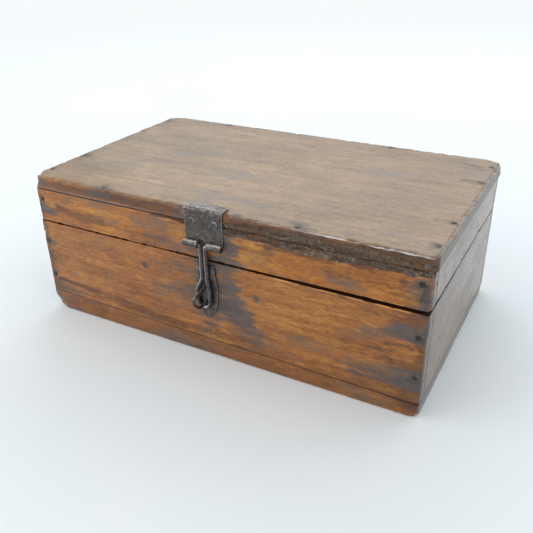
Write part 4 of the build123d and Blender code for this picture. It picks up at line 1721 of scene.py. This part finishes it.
@dataclass
class ForgedNails:
    """Nails whose heads are driven into the boards."""

    head_radius: float = 3.1
    head_thickness: float = 1.3
    head_lines: int = 13
    crown: float = 0.45
    dents: float = 0.16
    lopsided: float = 0.10
    length: float = 36.0
    shank: float = 2.6
    point: float = 1.2
    sunk: float = 0.25
    wall_x: float = 193.5
    wall_z: tuple[float, ...] = (39.75, 78.75)
    lid_x: float = 191.7
    lid_z: float = 125.3
    edge_y: float = 113.5
    top_x: tuple[float, ...] = (-114.0, 86.0)
    top_end_x: float = 195.0
    top_end_y: tuple[float, ...] = (-97.0, -50.0, 50.0, 97.0)
    under_x: tuple[float, ...] = (-150.0, -50.0, 50.0, 150.0)
    under_end_y: float = 55.0

    def seats(self) -> dict[str, list[NailSeat]]:
        """The nails' places.

        Returns:
            The seats of each CAD node.
        """
        box, lid = [], []
        for side, y in ((Side.FRONT, SIZE.front), (Side.BACK, SIZE.back)):
            for x in (-1, 1):
                box += [NailSeat((x * self.wall_x, y, z), side) for z in self.wall_z]
                lid.append(NailSeat((x * self.lid_x, y, self.lid_z), side))
        edges, ends = (-self.edge_y, self.edge_y), (-self.under_end_y, self.under_end_y)
        top = [(x, y) for x in self.top_x for y in edges]
        top += [(x, y) for x in (-self.top_end_x, self.top_end_x) for y in self.top_end_y]
        under = [(x, y) for x in self.under_x for y in edges]
        under += [(x, y) for x in (-self.wall_x, self.wall_x) for y in ends]
        return {
            "box_corner_nails": box,
            "lid_corner_nails": lid,
            "lid_top_nails": [NailSeat((x, y, SIZE.top), Side.TOP) for x, y in top],
            "bottom_nails": [NailSeat((x, y, 0.0), Side.UNDER) for x, y in under],
        }

    def head(self, offset: Array, noise: ValueNoise) -> Shell:
        """A hammered, slightly lopsided head that looks along Z.

        Its crown falls off as the square of the distance from the middle, and noise dents its
        face and outline.

        Args:
            offset: where the noise is read.
            noise: what makes it uneven.

        Returns:
            The head, round the origin.
        """
        head, across, up, away = round_head(self.head_lines)
        flat = np.stack([across, up, 0 * up], 1)
        rough = noise.layered(flat * 3 + offset, (2.6, 2.6, 2.6), 2)
        bulges = noise.layered(flat * 1.5 + offset, (2.0, 2.0, 2.0), 1)
        outline = self.head_radius * (1.0 - self.lopsided * (1.0 + bulges))
        face = -self.sunk - self.crown * away**2 - self.dents * (1.0 + rough)
        level = -self.head_thickness + (face + self.head_thickness) * head.points[:, 2]
        head.points = np.stack([across * outline, up * outline, level], axis=1)
        return head

    def nail(self, seat: NailSeat, noise: ValueNoise) -> Shell:
        """One nail: a hammered head on a square shank drawn to a point.

        Args:
            seat: where it is driven.
            noise: what makes it uneven.

        Returns:
            The nail, in place.
        """
        offset = np.array(seat.place)
        half = np.linspace(-0.5, 0.5, 3)
        shank = cell_shell(half, half, np.linspace(0.0, 1.0, 9))
        x, y, drop = shank.points.T
        size = self.shank + (self.point - self.shank) * drop
        level = -self.head_thickness * 0.7 - drop * (self.length - self.head_thickness)
        shank.points = np.stack([x * size, y * size, level], axis=1)
        nail = Shell.joined([self.head(offset, noise), shank])
        axis, end = seat.side.value
        out = 1.0 if end else -1.0
        place = np.zeros((len(nail.points), 3))
        place[:, axis] = out * nail.points[:, 2]
        place[:, (axis + 1) % 3] = nail.points[:, 0]
        place[:, (axis + 2) % 3] = out * nail.points[:, 1]
        nail.points = place + offset
        nail.masks["rubbed"] = np.clip(nail.sharpness() * 2.0, 0, 1)
        return nail

    def build(self) -> None:
        """Makes one piece for each CAD node of nails."""
        noise = ValueNoise(71)
        for node, seats in self.seats().items():
            body = Body.LID if node.startswith("lid") else Body.BOX
            nails = Shell.joined([self.nail(seat, noise) for seat in seats])
            nails.put(f"{node}_forged", NAIL_IRON, body, Slot.NAIL, node)


@dataclass
class PlateNails:
    """Two nails through sheet iron on the front: low heads with a hammered hollow."""

    nail_x: float
    face: float
    nail_z: float
    radius: float
    rise: float
    hollow: float
    length: float
    head_lines: int = 19
    shank: float = 2.3
    narrowing: float = 1.2
    root: float = -0.5

    def nail(self, x: float, noise: ValueNoise) -> Shell:
        """One nail.

        The head's height over the plate is rise times 1 - 0.75 away^6, less the hollow within
        its middle.

        Args:
            x: where it stands along the front.
            noise: what makes it uneven.

        Returns:
            The nail, in place.
        """
        offset = np.array((x, self.face, self.nail_z))
        head, across, up, away = round_head(self.head_lines)
        rough = noise.layered(np.stack([across, up, 0 * up], 1) * 3 + offset, (2.0, 2.0, 2.0), 2)
        uneven = 0.05 * (1.0 + rough)
        height = self.rise * (1.0 - 0.75 * away**6) - self.hollow * ease(0.78, 0.3, away) - uneven
        width = self.radius * (1.0 - uneven)
        out = self.root + (np.maximum(height, 0.05) - self.root) * head.points[:, 2]
        head.points = np.stack([across * width, -out, up * width], axis=1)
        half = np.linspace(-0.5, 0.5, 3)
        shank = cell_shell(half, np.linspace(0.0, 1.0, 7), half)
        x_share, depth, z_share = shank.points.T
        size = self.shank - self.narrowing * depth
        shank.points = np.stack([x_share * size, depth * self.length, z_share * size], axis=1)
        nail = Shell.joined([head, shank])
        nail.points = nail.points + offset
        nail.masks["rubbed"] = np.zeros(len(nail.points))
        # a painted highlight ring round the head's rounded edge
        nail.masks["rubbed"][: len(away)] = 0.6 * ease(0.66, 0.8, away) * ease(0.99, 0.9, away)
        return nail

    def pair(self, noise: ValueNoise) -> Shell:
        """Both nails, left and right of the middle."""
        return Shell.joined([self.nail(x, noise) for x in (-self.nail_x, self.nail_x)])


# ---- wrought iron


def beaten(
    shell: Shell, noise: ValueNoise, depth: float = 0.16, size: float = 4.5, gain: float = 6.0
) -> Shell:
    """Sheet or rod that the hammer and rust have left uneven, with its worn edges and painted highlights
    marked.

    Args:
        shell: the clean shape.
        noise: what makes it uneven.
        depth: how deep the hollows are.
        size: how wide they are.
        gain: how strongly edges count as rubbed.

    Returns:
        The same shell.
    """
    hollows = noise.layered(shell.points, (size, size, size), 3)
    shell.sink(depth * 0.5 * (1.0 + hollows))
    edges = np.clip(shell.softened(shell.sharpness()) * gain, 0, 1)
    # worn edges and the crest's painted highlights are marked bright together
    shell.masks["rubbed"] = np.maximum(0.6 * edges, 0.7 * shell.masks["crest"])
    return shell


def put_iron(node: str, shell: Shell, body: Body) -> None:
    """Makes a shell the wrought iron piece that stands for one CAD node."""
    shell.put(f"{node}_wrought", WROUGHT_IRON, body, Slot.IRON, node)


@dataclass
class HaspFittings:
    """The plate folded over the lid's edge, its nails, and the hasp that hangs in its knuckles."""

    plate_width: float = 39.0
    sheet: float = 1.15
    fold: float = 11.0
    fold_radius: float = 1.7
    bend_radius: float = 9.0
    axis_y: float = -124.0
    axis_z: float = 117.3
    bore: float = 2.2
    knuckle_opening: float = 10.0
    opening_clearance: float = 5.1
    roll: float = -288.0
    flare: float = 0.18
    rod_radius: float = 2.05
    arm_end: float = 17.5
    arm_bend: float = 2.6
    leg_x: float = 2.35
    neck: float = 32.5
    shoulder: float = 12.5
    eye: float = 17.6
    eye_x: float = 6.5
    foot_bend: float = 6.3
    lean: float = 2.2
    nail_x: float = 11.5
    nail_z: float = 138.0
    nail_seat: float = 0.1

    def plate_line(self) -> Line:
        """The middle of the plate from the side: over the lid, down its front, round the pin.

        Returns:
            The line.
        """
        half = self.sheet / 2
        top, front, roll = SIZE.top + half, SIZE.front - half, self.axis_y + self.bore + half
        bends = (
            (SIZE.front + self.fold, top, 0.0),
            (front, top, self.fold_radius),
            (front, self.axis_z + 9.0, self.bend_radius),
            (roll, self.axis_z + 4.0, self.bend_radius),
            (roll, self.axis_z, 0.0),
        )
        return Line(Bend(bends, (self.axis_y, self.axis_z, self.roll)).trace())

    def plate(self, noise: ValueNoise) -> Shell:
        """The folded plate with its two rolled knuckles and the gap between them.

        Args:
            noise: what makes it uneven.

        Returns:
            The plate.
        """
        line, edge_x = self.plate_line(), self.plate_width / 2
        drop = SIZE.top + self.sheet / 2 - self.axis_z - self.opening_clearance
        start = self.fold + self.sheet / 2 + drop

        def solid(x: Array, along: Array) -> Array:
            """Whether there is iron: everywhere but between the knuckles."""
            return ~((np.abs(x) < self.knuckle_opening / 2) & (along > start))

        shell = folded_sheet(ruled(-edge_x, edge_x, 0.9, 0.2), line, self.sheet, 0.8, solid)
        x, along, through = shell.points[:, 0], shell.masks["along"], shell.masks["through"]
        to_edge = edge_x - np.abs(x)
        # painted light on the plate: highlight lines along its edges, a painted reflection over the top leg,
        # a highlight on the knuckles
        rim = 0.85 * ease(0.9, 0.2, to_edge)
        top_leg_reflection = 0.64 * ease(self.fold + 2.0, self.fold + 0.5, along)
        knuckle_highlight = 1.4 * ease(3.8, 2.0, line.length - along)
        inside = np.where(through > 0, knuckle_highlight, 0.0)
        shell.masks["crest"] = np.where(through < 0, np.maximum(rim, top_leg_reflection), inside)
        flared = ease(3.0, 0.0, to_edge) * ease(start, start + 6.0, along) * (through < 0)
        shell.points += shell.normals() * (self.flare * flared)[:, None]
        wave = noise.layered(shell.points * (0, 1, 1), (9.0, 9.0, 9.0), 3)
        shell.points[:, 0] -= np.sign(x) * ease(edge_x - 2, edge_x, np.abs(x)) * 0.2 * (1 + wave)
        return beaten(shell, noise, 0.1, 6.0)

    def loop(self, noise: ValueNoise) -> Shell:
        """The hasp: one rod bent double, its legs together at the neck and open at the eye.

        Args:
            noise: what makes it uneven.

        Returns:
            The hasp.
        """
        neck = self.axis_z - self.neck
        eye = neck - self.shoulder
        right, left = (
            [
                (side * self.arm_end, self.axis_z, 0.0), (side * self.leg_x, self.axis_z, self.arm_bend),
                (side * self.leg_x, neck, self.bend_radius),
                (side * self.eye_x - self.lean, eye, self.bend_radius),
                (side * self.eye_x - self.lean, eye - self.eye, self.foot_bend),
            ]
            for side in (1, -1)
        )
        line = Line(Bend((*right, *reversed(left))).trace())
        return beaten(rod(line, Plane.FRONT, self.axis_y, self.rod_radius, noise), noise, 0.08, 3.0, 2.5)

    def build(self) -> None:
        """Makes the plate, its nails and the hasp."""
        noise = ValueNoise(53)
        face = SIZE.front - self.sheet + self.nail_seat
        nails = PlateNails(self.nail_x, face, self.nail_z, radius=3.3, rise=1.05, hollow=0.5, length=12.0)
        put_iron("hasp_plate", self.plate(noise), Body.LID)
        put_iron("hasp_plate_nails", nails.pair(noise), Body.LID)
        put_iron("hasp_loop", self.loop(noise), Body.HASP)


@dataclass
class StapleFittings:
    """The staple, the leaf-shaped plate behind it and that plate's nails."""

    sheet: float = 1.8
    lower: float = 60.0
    upper: float = 76.0
    wire: float = 1.58
    inner_y: float = -105.0
    clench: float = 9.0
    nose: tuple[Point, ...] = ((-135.5, 0.0, 5.0), (-143.5, 8.0, 3.0), (-141.5, 13.0, 3.0))
    shoulder_y: float = -124.0
    outline_z: tuple[float, ...] = (43.4, 43.8, 44.8, 46.5, 50.0, 56.0, 63.0, 70.0, 80.0, 90.0, 97.5)
    outline_x: tuple[float, ...] = (0.6, 2.2, 3.8, 5.2, 7.2, 9.7, 11.2, 11.6, 11.0, 9.4, 8.2)
    leaf_lines: int = 33
    tip_end: float = 47.0
    blade_start: float = 48.0
    nail_x: float = 4.5
    nail_z: float = 91.6
    nail_seat: float = 0.15

    def staple(self, noise: ValueNoise) -> Shell:
        """The staple's wire: in through the board, round the shaped nose, and back.

        Args:
            noise: what makes it uneven.

        Returns:
            The staple.
        """
        y, lower, upper = self.inner_y, self.lower, self.upper
        line = Line(Bend((
            (y, lower - self.clench, 0.0), (y, lower, 2.0),
            *((out, lower + rise, radius) for out, rise, radius in self.nose),
            (self.shoulder_y, upper, 5.0), (y, upper, 2.0), (y, upper + self.clench, 0.0),
        )).trace())
        # its upper outer side is marked bright: wear and a painted highlight
        wire = rod(line, Plane.SECTION, 0.0, self.wire, noise, 0.6, (-0.5, -0.3, 0.8))
        return beaten(wire, noise, 0.06, 2.5, 2.5)

    def plate(self, noise: ValueNoise) -> Shell:
        """The leaf: across it runs from -1 to 1, and is multiplied by the outline's half width.

        Args:
            noise: what makes it uneven.

        Returns:
            The leaf.
        """
        across = np.sin(np.linspace(-1.0, 1.0, self.leaf_lines) * math.pi / 2)
        tip = np.linspace(self.outline_z[0], self.tip_end, 9)
        heights = np.concatenate([tip, np.linspace(self.blade_start, self.outline_z[-1], 58)])
        shell = cell_shell(across, np.linspace(SIZE.front - self.sheet, SIZE.front, 4), heights)
        x, y, z = shell.points.T
        # painted highlight along the leaf's two edges
        shell.masks["crest"] = 0.85 * ease(0.92, 0.98, np.abs(x)) * (y < SIZE.front - 1.0)
        wave = noise.layered(shell.points * (0, 0, 1), (7.0, 7.0, 7.0), 3)
        shell.points[:, 0] *= np.interp(z, self.outline_z, self.outline_x) * (1.0 - 0.02 * (1.0 + wave))
        return beaten(shell, noise)

    def build(self) -> None:
        """Makes the staple, its plate and the plate's nails."""
        noise = ValueNoise(59)
        face = SIZE.front - self.sheet + self.nail_seat
        nails = PlateNails(self.nail_x, face, self.nail_z, radius=3.1, rise=0.35, hollow=0.15, length=11.0)
        put_iron("hasp_staple", self.staple(noise), Body.BOX)
        put_iron("staple_plate", self.plate(noise), Body.BOX)
        put_iron("staple_plate_nails", nails.pair(noise), Body.BOX)


@dataclass
class BackHinges:
    """The strap hinges behind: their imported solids, in wrought iron."""

    ends: tuple[str, ...] = ("left", "right")

    def build(self) -> None:
        """Dresses the hinges' nodes."""
        names = [f"{end}_hinge_{part}" for end in self.ends for part in ("lid_leaf", "box_leaf", "pin")]
        for name in (*names, "hinge_lid_nails", "hinge_box_nails"):
            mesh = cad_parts[name].data
            mesh.materials.clear()
            mesh.materials.append(WROUGHT_IRON.material())
            log.info("%s: dressed", name)


# ---- studio


@dataclass(frozen=True)
class SoftLamp:
    """A rectangular lamp at a place that looks at an aim, in metres and watts."""

    name: str
    place: Point
    aim: Point
    size: tuple[float, float]
    power: float
    colour: Point

    def build(self) -> None:
        """Adds the lamp."""
        data = bpy.data.lights.new(self.name, "AREA")
        data.shape, data.size, data.size_y = "RECTANGLE", *self.size
        data.energy, data.color = self.power, self.colour
        lamp = bpy.data.objects.new(self.name, data)
        lamp.location = self.place
        lamp.visible_camera = False
        lamp.rotation_mode = "QUATERNION"
        lamp.rotation_quaternion = (Vector(self.aim) - Vector(self.place)).to_track_quat("-Z", "Y")
        bpy.context.scene.collection.objects.link(lamp)


@dataclass
class Studio:
    """A pale floor, soft light and the camera."""

    floor_size: float = 14.0
    camera_place: Point = (290.68, -535.94, 363.84)
    azimuth: float = -28.932
    elevation: float = -28.135
    roll: float = -1.021
    lens: float = 43.56
    sensor: float = 36.0
    sky: float = 0.92
    lamps: tuple[SoftLamp, ...] = (
        SoftLamp("window", (-0.72, 1.85, 1.6), (0.0, 0.0, 0.12), (2.2, 1.2), 14.6, (0.97, 0.98, 1.0)),
        SoftLamp("low_window", (1.25, 1.75, 0.5), (0.2, 0.0, 0.08), (1.6, 0.8), 9.2, (0.74, 0.88, 1.0)),
        SoftLamp("front_fill", (-1.5, -1.3, 1.0), (-0.1, 0.0, 0.08), (1.5, 1.1), 10.0, (1.0, 0.98, 0.95)),
    )

    def camera(self) -> None:
        """A camera at its place, turned by azimuth, elevation and roll."""
        azimuth, elevation, roll = (math.radians(a) for a in (self.azimuth, self.elevation, self.roll))
        level = math.cos(elevation)
        ahead = Vector((level * math.sin(azimuth), level * math.cos(azimuth), math.sin(elevation)))
        right = ahead.cross(Vector((0, 0, 1))).normalized()
        up = right.cross(ahead)
        turned_right = right * math.cos(roll) + up * math.sin(roll)
        turned_up = up * math.cos(roll) - right * math.sin(roll)
        data = bpy.data.cameras.new("camera")
        data.lens, data.sensor_width = self.lens, self.sensor
        data.clip_start, data.clip_end = 0.01, 60.0
        camera = bpy.data.objects.new("camera", data)
        matrix = Matrix((turned_right, turned_up, -ahead)).transposed().to_4x4()
        matrix.translation = Vector(self.camera_place) * MILLIMETRE
        camera.matrix_world = matrix
        bpy.context.scene.collection.objects.link(camera)
        bpy.context.scene.camera = camera

    def world(self) -> None:
        """An even pale sky: plain light for surfaces, and near white where it is seen or mirrored."""
        world = bpy.data.worlds.new("sky")
        world.use_nodes = True
        world.node_tree.nodes.clear()
        tree = Tree(world.node_tree)
        light = tree.add("ShaderNodeBackground", {"Color": (0.95, 0.97, 1.0, 1.0), "Strength": self.sky})
        pale = tree.add("ShaderNodeBackground", {"Color": (0.97, 0.97, 0.96, 1.0), "Strength": 1.0})
        mixed = tree.add("ShaderNodeMixShader", {0: seen_rays(tree), 1: light.outputs[0], 2: pale.outputs[0]})
        tree.add("ShaderNodeOutputWorld", {"Surface": mixed.outputs[0]})
        bpy.context.scene.world = world

    def floor(self) -> None:
        """The floor, a wide flat sheet just under the chest."""
        half = self.floor_size / 2
        mesh = bpy.data.meshes.new("floor")
        corners = [(-half, -half, 0.0), (half, -half, 0.0), (half, half, 0.0), (-half, half, 0.0)]
        mesh.from_pydata(corners, [], [(0, 1, 2, 3)])
        mesh.materials.append(PALE_FLOOR.material())
        floor = bpy.data.objects.new("floor", mesh)
        bpy.context.scene.collection.objects.link(floor)

    def build(self) -> None:
        """Sets up the floor, the light and the camera."""
        self.floor()
        self.world()
        for lamp in self.lamps:
            lamp.build()
        self.camera()
        bpy.context.scene.view_settings.view_transform = "Standard"


def main() -> None:
    """Builds the chest's sub-assemblies in order, then the studio."""
    logging.basicConfig(level=logging.INFO, format="%(name)s: %(message)s")
    nails = ForgedNails()
    wear = ChestWear(seats=tuple(seat for seats in nails.seats().values() for seat in seats))
    LidBoards().build(wear)
    BoxBoards().build(wear)
    nails.build()
    HaspFittings().build()
    StapleFittings().build()
    BackHinges().build()
    Studio().build()


if __name__ == "__main__":
    main()
